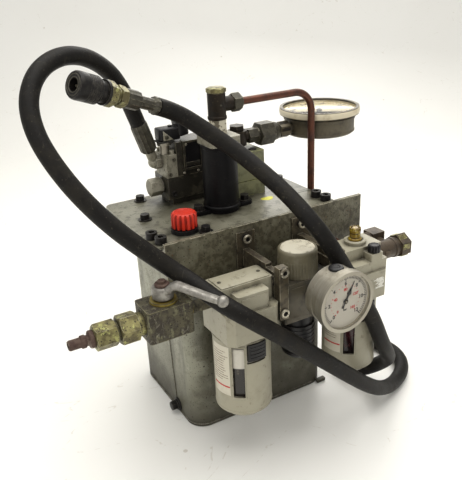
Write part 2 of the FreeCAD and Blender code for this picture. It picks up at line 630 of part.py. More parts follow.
def make_gauge_line():
    eye = rod("eye_ring", "banjo_radius", "banjo_height", ("banjo_x", "banjo_y", BANJO_BASE))
    collar = rod("eye_collar", "banjo_radius - 3", "banjo_lift", ("banjo_x", "banjo_y", BLOCK_TOP))
    neck = rod("eye_neck", "7", "banjo_radius + eye_neck_length", ("banjo_x", "banjo_y", LINE_Z), "+x")
    hole = rod("eye_hole", "bolt_radius + hole_gap", "banjo_height + banjo_lift + 2",
               ("banjo_x", "banjo_y", BLOCK_TOP + " - 1"))
    keep("banjo_eye", cut("eye_bored", fuse("eye_blank", eye, collar, neck), hole))
    top = BANJO_BASE + " + banjo_height"
    shank = rod("bolt_shank", "bolt_radius", "banjo_height + banjo_lift + 10",
                ("banjo_x", "banjo_y", BLOCK_TOP + " - 10"))
    head = hexagon("bolt_head", "bolt_head_flats", "bolt_head_height", ("banjo_x", "banjo_y", top))
    keep("banjo_bolt", fuse("bolt_body", shank, head))
    start = "banjo_x + banjo_radius + eye_neck_length"
    adaptor = hexagon("adaptor_hex", "adaptor_flats", "adaptor_end - (%s)" % start,
                      (start, "banjo_y", LINE_Z), "+x")
    swivel = hexagon("swivel_hex", "swivel_flats", "swivel_end - adaptor_end",
                     ("adaptor_end", "banjo_y", LINE_Z), "+x")
    keep("gauge_union", group("gauge_union_set", adaptor, swivel))


def gauge_profile(case, rim, depth, rim_depth, land, recess):
    """Corners of a round gauge case with a raised rim and a recess for its dial."""
    top = "%s + %s" % (depth, rim_depth)
    face = "%s - %s" % (top, recess)
    return [
        ("spindle_radius", face), ("spindle_radius", face + " + 2.6"), ("0", face + " + 2.6"),
        ("0", "0"), ("%s - 2" % case, "0"), (case, "2"), (case, depth), (rim, depth), (rim, top),
        ("%s - %s" % (rim, land), top), ("%s - %s" % (rim, land), face),
    ]


def pointer(name, length, at, way, tilt):
    """A gauge pointer on its hub, bored for the spindle."""
    hub = doc.addObject("Part::Cylinder", name + "_hub")
    bind(hub, "Radius", "pointer_hub")
    bind(hub, "Height", "pointer_thick")
    needle = doc.addObject("Part::Box", name + "_needle")
    bind(needle, "Length", "%s + 9" % length)
    bind(needle, "Width", "pointer_width")
    bind(needle, "Height", "pointer_thick")
    place(needle, "-9", "-pointer_width / 2", "0")
    hole = doc.addObject("Part::Cylinder", name + "_hole")
    bind(hole, "Radius", "spindle_radius + slide_gap")
    bind(hole, "Height", "pointer_thick + 2")
    place(hole, "0", "0", "-1")
    obj = cut(name, fuse(name + "_blank", hub, needle), hole)
    obj.Placement = FreeCAD.Placement(V(), TURNS[way].multiply(FreeCAD.Rotation(V(0, 0, 1), tilt)))
    return place(obj, *at)


def make_pressure_gauge():
    base = "(%s - dial_depth / 2 + 1)" % LINE_Z
    case = lathe("dial_case_body", gauge_profile("dial_case", "dial_rim", "dial_depth", "rim_depth",
                                                 "rim_land", "dial_recess"),
                 ("dial_x", "banjo_y", base))
    stem = rod("dial_stem", "7", "dial_x - dial_case - stem_end + 6",
               ("stem_end - 1", "banjo_y", LINE_Z), "+x")
    flats = hexagon("dial_stem_hex", "stem_flats", "stem_end - swivel_end",
                    ("swivel_end", "banjo_y", LINE_Z), "+x")
    keep("pressure_gauge", fuse("dial_assembly", case, stem, flats))
    face = base + " + dial_depth + rim_depth - dial_recess + fit_gap"
    keep("pressure_pointer", pointer("dial_needle", "dial_pointer",
                                     ("dial_x", "banjo_y", face), "+z", 225))


# ---------------------------------------------------------------- valve stack
def make_valve_stack():
    foot = box("stack_foot", ("stack_left + 6", "stack_right - 2"), ("stack_front + 3", "stack_back - 3"),
               (LID_TOP, MANIFOLD_BASE))
    block = slab("stack_block", ("stack_left", "stack_right"), ("stack_front", "stack_back"),
                 (MANIFOLD_BASE, MANIFOLD_TOP), "1.5")
    keep("valve_manifold", fuse("manifold_body", foot, block))
    middle = "((stack_front + stack_back) / 2)"
    plug = hexagon("plug_hex", "plug_flats", "plug_length",
                   ("stack_left", middle, MANIFOLD_BASE + " + manifold_height / 2"), "-x")
    keep("manifold_plug", plug)
    port_right = "(stack_left + port_thick)"
    port_y = ("stack_front", "stack_front + port_depth")
    port = box("port_blank", ("stack_left", port_right), port_y, (MANIFOLD_TOP, MANIFOLD_TOP + " + port_height"))
    bore = rod("port_hole", "3.5", "port_thick - 4", ("stack_left + port_thick - 4",) + FITTING[1:], "-x")
    stub_a = rod("port_stub_a", "2.6", "5", ("stack_left + 3.5", "stack_front + port_depth - 4",
                                             MANIFOLD_TOP + " + port_height"))
    stub_b = rod("port_stub_b", "3", "5", ("stack_left + port_thick - 4", "stack_front + 4",
                                           MANIFOLD_TOP + " + port_height"))
    keep("port_block", fuse("port_body", cut("port_bored", port, bore), stub_a, stub_b))
    right = "(stack_right - 10)"
    z_spool = MANIFOLD_TOP + " + 12"
    valve = box("valve_blank", (port_right, right), ("stack_front", "stack_front + valve_depth"),
                (MANIFOLD_TOP, MANIFOLD_TOP + " + valve_height"))
    spool_y = "(stack_front + valve_depth / 2)"
    hollow = rod("spool_bore", "spool_radius + slide_gap", "spool_length + 2 * spool_travel + 1",
                 (port_right + " + 2", spool_y, z_spool), "+x")
    pocket = box("valve_window", ("cover_left - fit_gap", "cover_right + fit_gap"),
                 ("stack_front - 1", "stack_front + cover_depth - 4 + fit_gap"),
                 ("cover_bottom", MANIFOLD_TOP + " + valve_height + 1"))
    keep("valve_body", cut("valve_bored", valve, hollow, pocket))
    keep("valve_spool", lathe("spool_turned", [
        ("0", "0"), ("spool_radius", "0"), ("spool_radius", "9"), ("3", "9"), ("3", "14"),
        ("spool_radius", "14"), ("spool_radius", "20"), ("3", "20"), ("3", "25"),
        ("spool_radius", "25"), ("spool_radius", "spool_length"), ("0", "spool_length"),
    ], (port_right + " + 2 + spool_travel + 0.5", spool_y, z_spool), "+x"))


def make_solenoid():
    low = MANIFOLD_TOP + " + port_height"
    coil_x = "(stack_left + port_thick - coil_cap - 0.5)"
    coil_y = "(stack_front + 12)"
    keep("solenoid_coil", lathe("coil_turned", [
        ("0", "0"), ("coil_radius", "0"), ("coil_radius", "coil_height - 5"),
        ("coil_cap", "coil_height - 5"), ("coil_cap", "coil_height"), ("0", "coil_height"),
    ], (coil_x, coil_y, low)))
    top = low + " + coil_height"
    body = box("connector_box", (coil_x + " - 9", coil_x + " + 16"), (coil_y + " - 9", coil_y + " + 9"),
               (top, top + " + 16"))
    hole = rod("button_hole", "button_radius + slide_gap", "button_length + button_travel + 2",
               (coil_x + " + 9", coil_y, top + " + 16 - button_length - button_travel"))
    keep("coil_connector", cut("connector_bored", body, hole))
    keep("override_button", rod("button_rod", "button_radius", "button_length + 1.5",
                                (coil_x + " + 9", coil_y, top + " + 16 - button_length")))
    shell = box("cover_shell", ("cover_left", "cover_right"),
                ("stack_front - 4", "stack_front + cover_depth - 4"),
                ("cover_bottom", "cover_bottom + cover_rise"))
    dish = box("cover_dish", ("cover_left + cover_wall", "cover_right - cover_wall"),
               ("stack_front - 5", "stack_front - 1"),
               ("cover_bottom + cover_wall", "cover_bottom + cover_rise - cover_wall"))
    keep("solenoid_cover", cut("cover_dished", shell, dish))


# ---------------------------------------------------------------- air preparation row
def air_module(name, boss_left, boss_right, boss_top):
    """Head, front boss and bowl skirt that the filter and the lubricator share."""
    x = MODULES[name]
    beam = slab(name + "_beam", (x + " - module_half", x + " + module_half"),
                ("air_y - beam_half", "air_y + beam_half"),
                (SKIRT_TOP, "air_z + beam_top"), "2")
    boss = slab(name + "_boss", (x + boss_left, x + boss_right),
                ("air_y - beam_half - boss_reach", "air_y"), (SKIRT_TOP, "air_z + " + boss_top), "3")
    skirt = slab(name + "_skirt", (x + " - module_half", x + " + module_half"),
                 ("air_y - skirt_half", "air_y + skirt_half"), (SKIRT_LOW, SKIRT_TOP),
                 "skirt_corner", "Chamfer")
    socket = rod(name + "_socket", "socket_radius", "socket_depth + 1",
                 (x, "air_y", SKIRT_LOW + " - 1"))
    air = [rod(name + "_way_in", "module_bore", "module_half - 10",
               (x + " - module_half - 1", "air_y", "air_z"), "+x"),
           rod(name + "_way_out", "module_bore", "module_half - 10",
               (x + " + 11", "air_y", "air_z"), "+x")]
    return fuse(name + "_blank", beam, boss, skirt), [socket] + air


def make_bowl(name):
    """Bowl guard with two windows and a slot for its lock button, and the button."""
    x = MODULES[name]
    neck = "socket_radius - fit_gap"
    rim = SKIRT_LOW + " - fit_gap"
    cup = lathe(name + "_cup", [
        ("0", "bowl_floor"), ("bowl_radius - bowl_corner", "bowl_floor"),
        ("bowl_radius", "bowl_floor + bowl_corner"), ("bowl_radius", rim), (neck, rim),
        (neck, rim + " + socket_depth - 4"), (neck + " - bowl_wall", rim + " + socket_depth - 4"),
        (neck + " - bowl_wall", rim + " - 4"), ("bowl_radius - bowl_wall", rim + " - 6"),
        ("bowl_radius - bowl_wall", "bowl_floor + bowl_corner + 1"),
        ("bowl_radius - bowl_corner - 1", "bowl_floor + bowl_wall"), ("0", "bowl_floor + bowl_wall"),
    ], (x, "air_y", "0"))
    windows = doc.addObject("Part::Box", name + "_window")
    bind(windows, "Length", "window_width")
    bind(windows, "Width", "2 * bowl_radius + 4")
    bind(windows, "Height", "window_high - window_low")
    windows.Placement = FreeCAD.Placement(V(), FreeCAD.Rotation(V(0, 0, 1), -38))
    place(windows, x + " - window_width / 2 * cos(38) - (bowl_radius + 2) * sin(38)",
          "air_y + window_width / 2 * sin(38) - (bowl_radius + 2) * cos(38)", "window_low")
    slot = box(name + "_slot", (x + " - lock_width / 2 - fit_gap", x + " + lock_width / 2 + fit_gap"),
               ("air_y - bowl_radius - 2", "air_y - bowl_radius + 8"),
               ("lock_low - lock_travel - fit_gap", "lock_low + lock_height + fit_gap"))
    keep(name + "_bowl", cut(name + "_guard", cup, windows, slot))
    block = box(name + "_lock_block", (x + " - lock_width / 2", x + " + lock_width / 2"),
                ("air_y - bowl_radius - 5", "air_y - bowl_radius + 8"),
                ("lock_low", "lock_low + lock_height"))
    shell = cut(name + "_lock_shell",
                rod(name + "_lock_out", "bowl_radius + lock_proud", "lock_height", (x, "air_y", "lock_low")),
                rod(name + "_lock_in", "bowl_radius - bowl_wall - 1", "lock_height + 2",
                    (x, "air_y", "lock_low - 1")))
    keep(name + "_lock", common(name + "_lock_body", block, shell))


def make_filter():
    blank, tools = air_module("filter", " - boss_half", " + boss_half", "boss_top")
    keep("filter_body", cut("filter_bored", blank, *tools))
    make_bowl("filter")
    keep("filter_element", lathe("element_turned", [
        ("element_bore", "0"), ("element_radius", "0"), ("element_radius", "element_length"),
        ("element_bore", "element_length"),
    ], ("filter_x", "air_y", SOCKET_TOP + " - element_length")))


def make_regulator():
    x = MODULES["regulator"]
    low = "air_z - regulator_bottom"
    top = "air_z + regulator_top"
    body = slab("regulator_block", (x + " - module_half", x + " + module_half"),
                ("air_y - regulator_half", "air_y + regulator_half"), (low, top), "3")
    bonnet = rod("regulator_bonnet", "bonnet_radius", "bonnet_height", (x, "air_y", top))
    air = [rod("regulator_way_%s" % s, "module_bore - 2", "16", (x + way, "air_y", "air_z - 4"), "+x")
           for s, way in (("in", " - module_half - 1"), ("out", " + module_half - 15"))]
    gauge_port = rod("regulator_port", "port_radius - 2", "12",
                     ("gauge_x", "air_y - regulator_half - 1", "gauge_z - gauge_drop"), "+y")
    keep("regulator_body", cut("regulator_bored", fuse("regulator_blank", body, bonnet), gauge_port, *air))
    inner = "bonnet_radius + fit_gap"
    keep("regulator_knob", lathe("knob_turned", [
        (inner, "0"), ("knob_radius", "0"), ("knob_radius", "knob_height - 2"),
        ("knob_radius - 2", "knob_height"), ("0", "knob_height"), ("0", "knob_height - knob_wall"),
        (inner, "knob_height - knob_wall"),
    ], (x, "air_y", top + " + fit_gap")))
    keep("regulator_tail", lathe("tail_turned", [
        ("0", "0"), ("tail_radius - 6", "0"), ("tail_radius", "6"), ("tail_radius", "tail_height - 14"),
        ("tail_radius - 2", "tail_height - 14"), ("tail_radius - 2", "tail_height"), ("0", "tail_height"),
    ], (x, "air_y", "air_z - regulator_bottom - tail_height")))


def make_air_gauge():
    case = lathe("gauge_case_body", gauge_profile("gauge_case", "gauge_rim", "gauge_depth",
                                                  "gauge_rim_depth", "gauge_land", "gauge_recess"),
                 ("gauge_x", "gauge_back", "gauge_z"), "-y")
    z = "gauge_z - gauge_drop"
    stem = rod("gauge_stem", "port_radius", "air_y - regulator_half - gauge_back",
               ("gauge_x", "air_y - regulator_half", z), "-y")
    flats = hexagon("gauge_stem_hex", "2 * port_radius + 2", "9", ("gauge_x", "gauge_back", z), "+y")
    keep("air_gauge", fuse("gauge_assembly", case, stem, flats))
    face = "gauge_back - gauge_depth - gauge_rim_depth + gauge_recess - fit_gap"
    keep("air_pointer", pointer("gauge_needle", "gauge_pointer", ("gauge_x", face, "gauge_z"), "-y", 62))


def make_lubricator():
    x = MODULES["lubricator"]
    blank, tools = air_module("lubricator", " - boss_half", " + module_half - 2", "feed_boss_top")
    ring = rod("dome_ring_body", "dome_ring", "dome_ring_height",
               (x + " + dome_offset", "air_y", "air_z + beam_top"))
    tower = slab("feed_tower", (x + " + feed_offset - 9", x + " + feed_offset + 9"),
                 ("air_y - beam_half - boss_reach", "air_y - beam_half + 2"),
                 ("air_z", "air_z + feed_lift"), "2")
    keep("lubricator_body", cut("lubricator_bored", fuse("lubricator_whole", blank, ring, tower), *tools))
    make_bowl("lubricator")
    keep("sight_dome", lathe("dome_turned", [
        ("0", "0"), ("dome_radius + 1.2", "0"), ("dome_radius + 1.2", "2"), ("dome_radius", "2"),
        ("dome_radius", "dome_height - 3"), ("dome_radius - 3", "dome_height"), ("0", "dome_height"),
    ], (x + " + dome_offset", "air_y", "air_z + beam_top + dome_ring_height")))
    keep("feed_knob", lathe("feed_turned", [
        ("0", "0"), ("feed_radius", "0"), ("feed_radius", "feed_height - 1.5"),
        ("feed_radius - 1.5", "feed_height"), ("0", "feed_height"),
    ], (x + " + feed_offset", "air_y - feed_setback", "air_z + feed_lift + fit_gap")))


def make_brackets():
    """Two brackets: an ear on the plate, an arm, a bored spacer and a clamping bar."""
    brackets = []
    for i, x in enumerate(SPACERS):
        gap = "(spacer_gap / 2)"
        ear = box("ear_%d" % i, (x + " - ear_half", x + " + ear_half"),
                  (PLATE_FRONT + " - ear_plate", PLATE_FRONT), ("air_z + 2", "air_z + ear_rise"))
        arm = box("arm_%d" % i, (x + " - arm_half", x + " + arm_half"),
                  ("air_y", PLATE_FRONT), ("air_z - 20", "air_z + arm_top"))
        spacer = box("spacer_%d" % i, (x + " - " + gap, x + " + " + gap),
                     ("air_y - beam_half", "air_y + beam_half"), ("air_z - 16", "air_z + 16"))
        front = box("bar_%d" % i, (x + " - spacer_gap / 2 + bar_gap", x + " + spacer_gap / 2 - bar_gap"),
                    ("air_y - bar_reach", "air_y - bar_reach + bar_deep"),
                    ("air_z - bar_tall", "air_z + bar_tall - 3"))
        web = box("web_%d" % i, (x + " - arm_half", x + " + arm_half"),
                  ("air_y - bar_reach + bar_deep - 1", "air_y"), ("air_z - 18", "air_z + 20"))
        cuts = [rod("spacer_bore_%d" % i, "module_bore - 2", "2 * %s + 2" % gap,
                    (x + " - " + gap + " - 1", "air_y", "air_z"), "+x"),
                rod("ear_bore_%d" % i, "mid_screw_radius + hole_gap", "ear_plate + 2",
                    (x, PLATE_FRONT + " + 1", "air_z + ear_screw_rise"), "-y")]
        for side, rise in (("top", "bar_screw_rise"), ("low", "-bar_screw_rise")):
            cuts.append(rod("bar_bore_%s_%d" % (side, i), "mid_screw_radius + hole_gap", "bar_deep / 2 + 2",
                            (x, "air_y - bar_reach - 1", "air_z + " + rise), "+y"))
        brackets.append(cut("t_bracket_%d" % i, fuse("t_blank_%d" % i, ear, arm, spacer, front, web), *cuts))
    keep("t_brackets", group("t_bracket_pair", *brackets))


# ---------------------------------------------------------------- air inlet, ball valve and outlet
def make_ball_valve():
    side = ("air_y - valve_half", "air_y + valve_half")
    block = slab("valve_cube", ("valve_left", "valve_right"), side,
                 ("air_z - valve_half", VALVE_TOP), "3")
    nipple = rod("valve_nipple", "nipple_radius", "filter_x - module_half - valve_right",
                 ("valve_right", "air_y", "air_z"), "+x")
    seat = rod("valve_seat_ring", "seat_ring", "seat_height", (VALVE_X, "air_y", VALVE_TOP))
    room = ball("ball_room", "ball_radius + fit_gap", (VALVE_X, "air_y", "air_z"))
    way = rod("valve_way", "valve_bore - 2", "filter_x - module_half - valve_left + 2",
              ("valve_left - 1", "air_y", "air_z"), "+x")
    stem_hole = rod("valve_stem_hole", "valve_stem + fit_gap", "valve_half + seat_height + 2",
                    (VALVE_X, "air_y", "air_z"))
    keep("ball_valve_body", cut("valve_cube_bored", fuse("valve_cube_blank", block, nipple, seat), room,
                                way, stem_hole))
    sphere = ball("ball_blank", "ball_radius", (VALVE_X, "air_y", "air_z"))
    bore = rod("ball_bore", "valve_bore - 2", "2 * ball_radius + 2",
               (VALVE_X + " - ball_radius - 1", "air_y", "air_z"), "+x")
    flat = box("ball_flat", (VALVE_X + " - 9", VALVE_X + " + 9"), ("air_y - 9", "air_y + 9"),
               ("air_z + ball_radius - 1.5", "air_z + ball_radius + 1"))
    keep("valve_ball", cut("ball_bored", sphere, bore, flat))


def make_lever():
    """The lever is drawn along +X on its hub, then turned to where it stands."""
    mid = "hub_height - lever_thick"
    arm = extruded("lever_arm", [
        ("0", mid), ("hub_radius + 3", mid + " + lever_rise"), ("lever_reach", mid + " + 1"),
        ("lever_reach", mid + " + lever_thick - 1"),
        ("hub_radius + 4", mid + " + lever_rise + lever_thick - 1"), ("0", "hub_height"),
    ], "lever_width")
    hub = rod("lever_hub", "hub_radius", "hub_height", ("0", "0", "0"))
    stem = rod("lever_stem", "valve_stem",
               "valve_half + seat_height + fit_gap - ball_radius + 2",
               ("0", "0", "-(valve_half + seat_height + fit_gap - ball_radius + 1.5)"))
    end = ball("lever_ball", "lever_knob", ("lever_reach", "0", mid + " + lever_thick / 2"))
    nut = hexagon("lever_nut", "hub_nut_flats", "hub_nut_height", ("0", "0", "hub_height"))
    lever = fuse("lever_body", hub, arm, stem, end, nut)
    lever.Placement = FreeCAD.Placement(V(), FreeCAD.Rotation(V(0, 0, -1), -value("lever_angle")))
    keep("valve_lever", place(lever, VALVE_X, "air_y", HUB_BASE))


def make_inlet():
    wide = hexagon("union_wide", "union_flats", "union_length", ("valve_left", "air_y", "air_z"), "-x")
    bore = rod("union_way", "valve_bore - 2", "union_length + 2", ("valve_left + 1", "air_y", "air_z"), "-x")
    keep("inlet_union", cut("union_wide_bored", wide, bore))
    start = "(valve_left - union_length)"
    nut = hexagon("tail_nut", "tail_hex", "tail_hex_length", (start, "air_y", "air_z"), "-x")
    plug = lathe("tail_turned_plug", [
        ("3", "tail_hex_length - 1"), ("tail_collar", "tail_hex_length - 1"),
        ("tail_collar", "tail_hex_length + 3"), ("6.5", "tail_hex_length + 3"),
        ("6.5", "tail_hex_length + tail_reach - tail_tip_length"),
        ("tail_tip", "tail_hex_length + tail_reach - tail_tip_length"),
        ("tail_tip", "tail_hex_length + tail_reach"), ("3", "tail_hex_length + tail_reach"),
    ], (start, "air_y", "air_z"), "-x")
    way = rod("tail_way", "3", "tail_hex_length + 2", (start + " + 1", "air_y", "air_z"), "-x")
    keep("inlet_plug", cut("tail_bored", fuse("tail_blank", nut, plug), way))


def make_outlet():
    left = MODULES["lubricator"] + " + module_half"
    low = "air_z - outlet_drop"
    body = rod("outlet_barrel", "outlet_radius", "outlet_length", (left, "air_y", low), "+x")
    plug = hexagon("outlet_hex", "outlet_flats", "outlet_plug",
                   (left + " + outlet_length", "air_y", low), "+x")
    neck = rod("outlet_neck", "7", "branch_y - air_y", ("branch_x", "air_y", "branch_z - 4"), "+y")
    block = box("outlet_branch", ("branch_x - branch_half", "branch_x + branch_half"),
                ("branch_y - branch_half", "branch_y + branch_half"),
                ("branch_z - branch_half", "branch_z + branch_half"))
    nut = hexagon("branch_hex", "tee_nut_flats - 2", "branch_nut",
                  ("branch_x - branch_half", "branch_y", "branch_z"), "-x")
    room = rod("branch_room", "pipe_radius + fit_gap", "branch_nut + 1",
               ("branch_x - branch_half", "branch_y", "branch_z"), "-x")
    way = rod("outlet_way", "module_bore", "outlet_length - 8", (left + " - 1", "air_y", low), "+x")
    keep("outlet_tee", cut("outlet_bored", fuse("outlet_blank", body, plug, neck, block, nut), way, room))
    start = V(value("branch_x - branch_half"), value("branch_y"), value("branch_z"))
    corner = V(value("air_pipe_x"), start.y, start.z)
    end = V(corner.x, value(PLATE_FRONT), start.z)
    wire = bent_wire([start, corner, end], [value("air_bend")])
    outer = swept(wire, value("pipe_radius"))
    inner = swept(wire, value("pipe_radius - pipe_wall"))
    keep("air_pipe", bar("air_pipe_bar", outer.cut(inner)))


# ---------------------------------------------------------------- hose and its fittings
def make_hose():
    elbow = fuse("fitting_blank",
                 hexagon("fitting_hex", "16", "8", ("stack_left",) + FITTING[1:], "-x"),
                 ball("fitting_ball", "7.5", FITTING),
                 along(rod("fitting_leg", "6", "16", ("0", "0", "0")), FITTING_CENTRE, FERRULE_WAY))
    keep("hose_fitting", elbow)
    ferrule = doc.addObject("Part::Cylinder", "ferrule_body")
    bind(ferrule, "Radius", "ferrule_radius")
    bind(ferrule, "Height", "ferrule_length")
    keep("hose_ferrule", along(ferrule, FERRULE_START, FERRULE_WAY))

    radii = []
    for before, corner, after in zip(HOSE_ROUTE, HOSE_ROUTE[1:], HOSE_ROUTE[2:]):
        way_in, way_out = corner - before, after - corner
        half_turn = way_in.getAngle(way_out) / 2
        radii.append(0.45 * min(way_in.Length, way_out.Length) / math.tan(half_turn))
    wire = bent_wire(HOSE_ROUTE, radii)
    tube = swept(wire, value("hose_radius"))
    keep("hose", bar("hose_tube", tube))
    section = math.pi * value("hose_radius") ** 2
    print("hose length %.1f mm, least arc radius %.1f mm" % (wire.Length, min(radii)))
    print("hose arc radii", [round(r) for r in radii])
    print("hose volume over section times length %.4f" % (tube.Volume / (section * wire.Length)))


def make_coupler():
    core = "core_length"
    crimp = "(%s + crimp_length)" % core
    first = "(%s + coupler_hex_length)" % crimp
    neck = "(%s + neck_length)" % first
    second = "(%s + body_hex_length)" % neck
    turned = lathe("coupler_tail_turned", [
        ("0", "0"), ("core_radius", "0"), ("core_radius", core), ("crimp_radius", core),
        ("crimp_radius", crimp), ("coupler_neck", crimp), ("coupler_neck", neck), ("0", neck),
    ])
    hex_a = hexagon("coupler_hex_a", "coupler_hex", "coupler_hex_length", ("0", "0", crimp))
    hex_b = hexagon("coupler_hex_b", "body_hex", "body_hex_length", ("0", "0", neck))
    keep("coupler_tail", along(fuse("coupler_tail_body", turned, hex_a, hex_b), COUPLER_START, COUPLER_WAY))
    end = "(%s + body_length)" % second
    body = lathe("coupler_turned", [
        ("0", second), ("body_radius + 2", second), ("body_radius + 2", second + " + 3"),
        ("body_radius", second + " + 3"), ("body_radius", end), ("body_bore", end),
        ("body_bore", end + " - bore_depth"), ("0", end + " - bore_depth"),
    ])
    keep("coupler_body", along(body, COUPLER_START, COUPLER_WAY))
    bore = "body_radius + sleeve_gap"
    start = end + " - sleeve_length"
    sleeve = lathe("sleeve_turned", [
        (bore, start), ("sleeve_radius - 1", start), ("sleeve_radius", start + " + 1"),
        ("sleeve_radius", end + " - 2"), ("sleeve_radius - 1.5", end), (bore, end),
    ])
    keep("coupler_sleeve", along(sleeve, COUPLER_START, COUPLER_WAY))


# ---------------------------------------------------------------- build, check and write
make_tank()
make_gasket()
make_lid()
make_front_plate()
make_screws()
make_flange_bolts()
make_filler()
make_pump()
make_tee()
make_return_pipe()
make_pressure_block()
make_gauge_line()
make_pressure_gauge()
make_valve_stack()
make_solenoid()
make_filter()
make_regulator()
make_air_gauge()
make_lubricator()
make_brackets()
make_ball_valve()
make_lever()
make_inlet()
make_outlet()
make_hose()
make_coupler()
doc.recompute()

faults = []
for obj in doc.Objects:
    if "Invalid" in obj.State or "Error" in obj.State:
        faults.append("%s: %s" % (obj.Name, obj.State))
for label, obj in parts.items():
    if obj.Shape.isNull() or not obj.Shape.isValid():
        faults.append("%s has no valid shape" % label)
if faults:
    raise SystemExit("\n".join(faults))
os.makedirs("parts", exist_ok=True)
for label, obj in parts.items():
    obj.Shape.exportStep("parts/%s.step" % label)
print("%d sub-parts written" % len(parts))
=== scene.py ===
import math
import random

import bmesh
import bpy
from bpy.props import (BoolProperty, FloatProperty, FloatVectorProperty, IntProperty,
                       PointerProperty)
from mathutils import Matrix, Vector


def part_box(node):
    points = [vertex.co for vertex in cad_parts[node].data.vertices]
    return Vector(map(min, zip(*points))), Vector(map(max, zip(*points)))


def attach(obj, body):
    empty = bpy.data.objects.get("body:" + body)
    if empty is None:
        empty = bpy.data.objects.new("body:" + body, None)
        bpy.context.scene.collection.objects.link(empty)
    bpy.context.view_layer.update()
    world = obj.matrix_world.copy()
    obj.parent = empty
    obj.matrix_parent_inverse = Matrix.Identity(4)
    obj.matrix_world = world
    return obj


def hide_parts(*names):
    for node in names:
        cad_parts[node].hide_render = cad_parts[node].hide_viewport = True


bl_info = {
    "name": "Hydraulic power unit",
    "version": (1, 0, 0),
    "blender": (4, 5, 0),
    "location": "View3D > Sidebar > Power unit",
    "description": "Finishes and details of an air driven hydraulic power unit",
    "category": "Object",
}

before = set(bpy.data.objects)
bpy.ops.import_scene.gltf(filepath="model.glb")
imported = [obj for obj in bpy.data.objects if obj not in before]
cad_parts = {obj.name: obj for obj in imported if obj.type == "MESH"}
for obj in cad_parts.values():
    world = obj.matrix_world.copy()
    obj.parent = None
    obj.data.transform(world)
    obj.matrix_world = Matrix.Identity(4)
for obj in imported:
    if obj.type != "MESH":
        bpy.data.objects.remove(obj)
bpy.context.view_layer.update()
MM = 0.001
ROOT = "power_unit"


def node_box(node):
    """Lowest and highest corner of a frame node, in millimetres."""
    low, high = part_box(node)
    return Vector(low) / MM, Vector(high) / MM


def node_middle(node):
    low, high = node_box(node)
    return (low + high) / 2


# Heights and centre lines that several pieces share, in millimetres.
LID_TOP = node_box("lid_plate")[1].z
AIR_Y = node_middle("filter_body").y
AIR_Z = 204.6
FILTER_X = node_middle("filter_body").x
REGULATOR_X = node_middle("regulator_tail").x
LUBRICATOR_X = node_middle("lubricator_body").x
SKIRT_LOW = node_box("filter_body")[0].z
BOWL_FLOOR = node_box("filter_bowl")[0].z
# The gauge line's depth and height, and the middle of the pump column.
BANJO_Y = 24.0
LINE_Z = 325.0
PUMP = (-11.0, -16.0)


def shade(red, green, blue):
    """A screen colour, 0 to 255, as the linear colour that shaders take."""
    def linear(channel):
        c = channel / 255
        return c / 12.92 if c <= 0.04045 else ((c + 0.055) / 1.055) ** 2.4
    return (linear(red), linear(green), linear(blue), 1.0)


# ---------------------------------------------------------------- settings
class StageSettings(bpy.types.PropertyGroup):
    floor_colour: FloatVectorProperty(
        name="Floor colour", description="Colour of the floor and backdrop",
        default=(0.93, 0.925, 0.89), subtype="COLOR", min=0, max=1)
    key_power: FloatProperty(
        name="Key power", description="Power of the large overhead light",
        default=21, unit="POWER", min=0)
    fill_power: FloatProperty(
        name="Fill power", description="Power of the light beside the camera",
        default=5, unit="POWER", min=0)
    sky_strength: FloatProperty(
        name="Sky strength", description="Brightness of the light from all around",
        default=0.62, min=0)


class PaintSettings(bpy.types.PropertyGroup):
    tank_colour: FloatVectorProperty(
        name="Tank paint", description="Grey green paint of the tank",
        default=shade(150, 150, 132)[:3], subtype="COLOR", min=0, max=1)
    grime_colour: FloatVectorProperty(
        name="Grime", description="Oily dirt on painted sheet metal",
        default=shade(62, 58, 44)[:3], subtype="COLOR", min=0, max=1)
    edge_wear: FloatProperty(
        name="Edge wear", description="How far the paint has worn back from the edges",
        default=0.0012, unit="LENGTH", min=0)


class HoseSettings(bpy.types.PropertyGroup):
    diameter: FloatProperty(
        name="Hose diameter", description="Outer diameter of the hose",
        default=0.0185, unit="LENGTH", min=0.004)
    crimp_faces: IntProperty(
        name="Crimp faces", description="Flats pressed round each crimped ferrule",
        default=12, min=6)


class DialSettings(bpy.types.PropertyGroup):
    sweep: FloatProperty(
        name="Dial sweep", description="Angle from the first to the last mark",
        default=math.radians(270), subtype="ANGLE")
    small_marks: IntProperty(
        name="Small marks", description="Divisions from one numbered mark to the next",
        default=5, min=1)


class GripSettings(bpy.types.PropertyGroup):
    cap_ribs: IntProperty(
        name="Cap ribs", description="Ribs round the filler cap", default=15, min=3)
    knob_flutes: IntProperty(
        name="Knob flutes", description="Flutes round the feed knob", default=12, min=3)
    show_labels: BoolProperty(
        name="Bowl labels", description="Puts the plain labels on the bowl guards",
        default=True)


class UnitSettings(bpy.types.PropertyGroup):
    stage: PointerProperty(type=StageSettings)
    paint: PointerProperty(type=PaintSettings)
    hose: PointerProperty(type=HoseSettings)
    dials: PointerProperty(type=DialSettings)
    grips: PointerProperty(type=GripSettings)


# ---------------------------------------------------------------- shader effects
class Net:
    """Short ways to add and join nodes in one tree."""

    def __init__(self, tree):
        self.tree = tree

    def add(self, kind, inputs=(), **settings):
        node = self.tree.nodes.new("ShaderNode" + kind)
        for name, value in settings.items():
            setattr(node, name, value)
        for key, value in dict(inputs).items():
            if isinstance(value, bpy.types.NodeSocket):
                self.tree.links.new(value, node.inputs[key])
            else:
                node.inputs[key].default_value = value
        return node

    def math(self, operation, a, b=0.0, clamp=False):
        node = self.add("Math", {0: a, 1: b}, operation=operation, use_clamp=clamp)
        return node.outputs[0]

    def ramp(self, value, low, high):
        node = self.add("MapRange", {"Value": value, "From Min": low, "From Max": high},
                        interpolation_type="SMOOTHSTEP")
        return node.outputs["Result"]


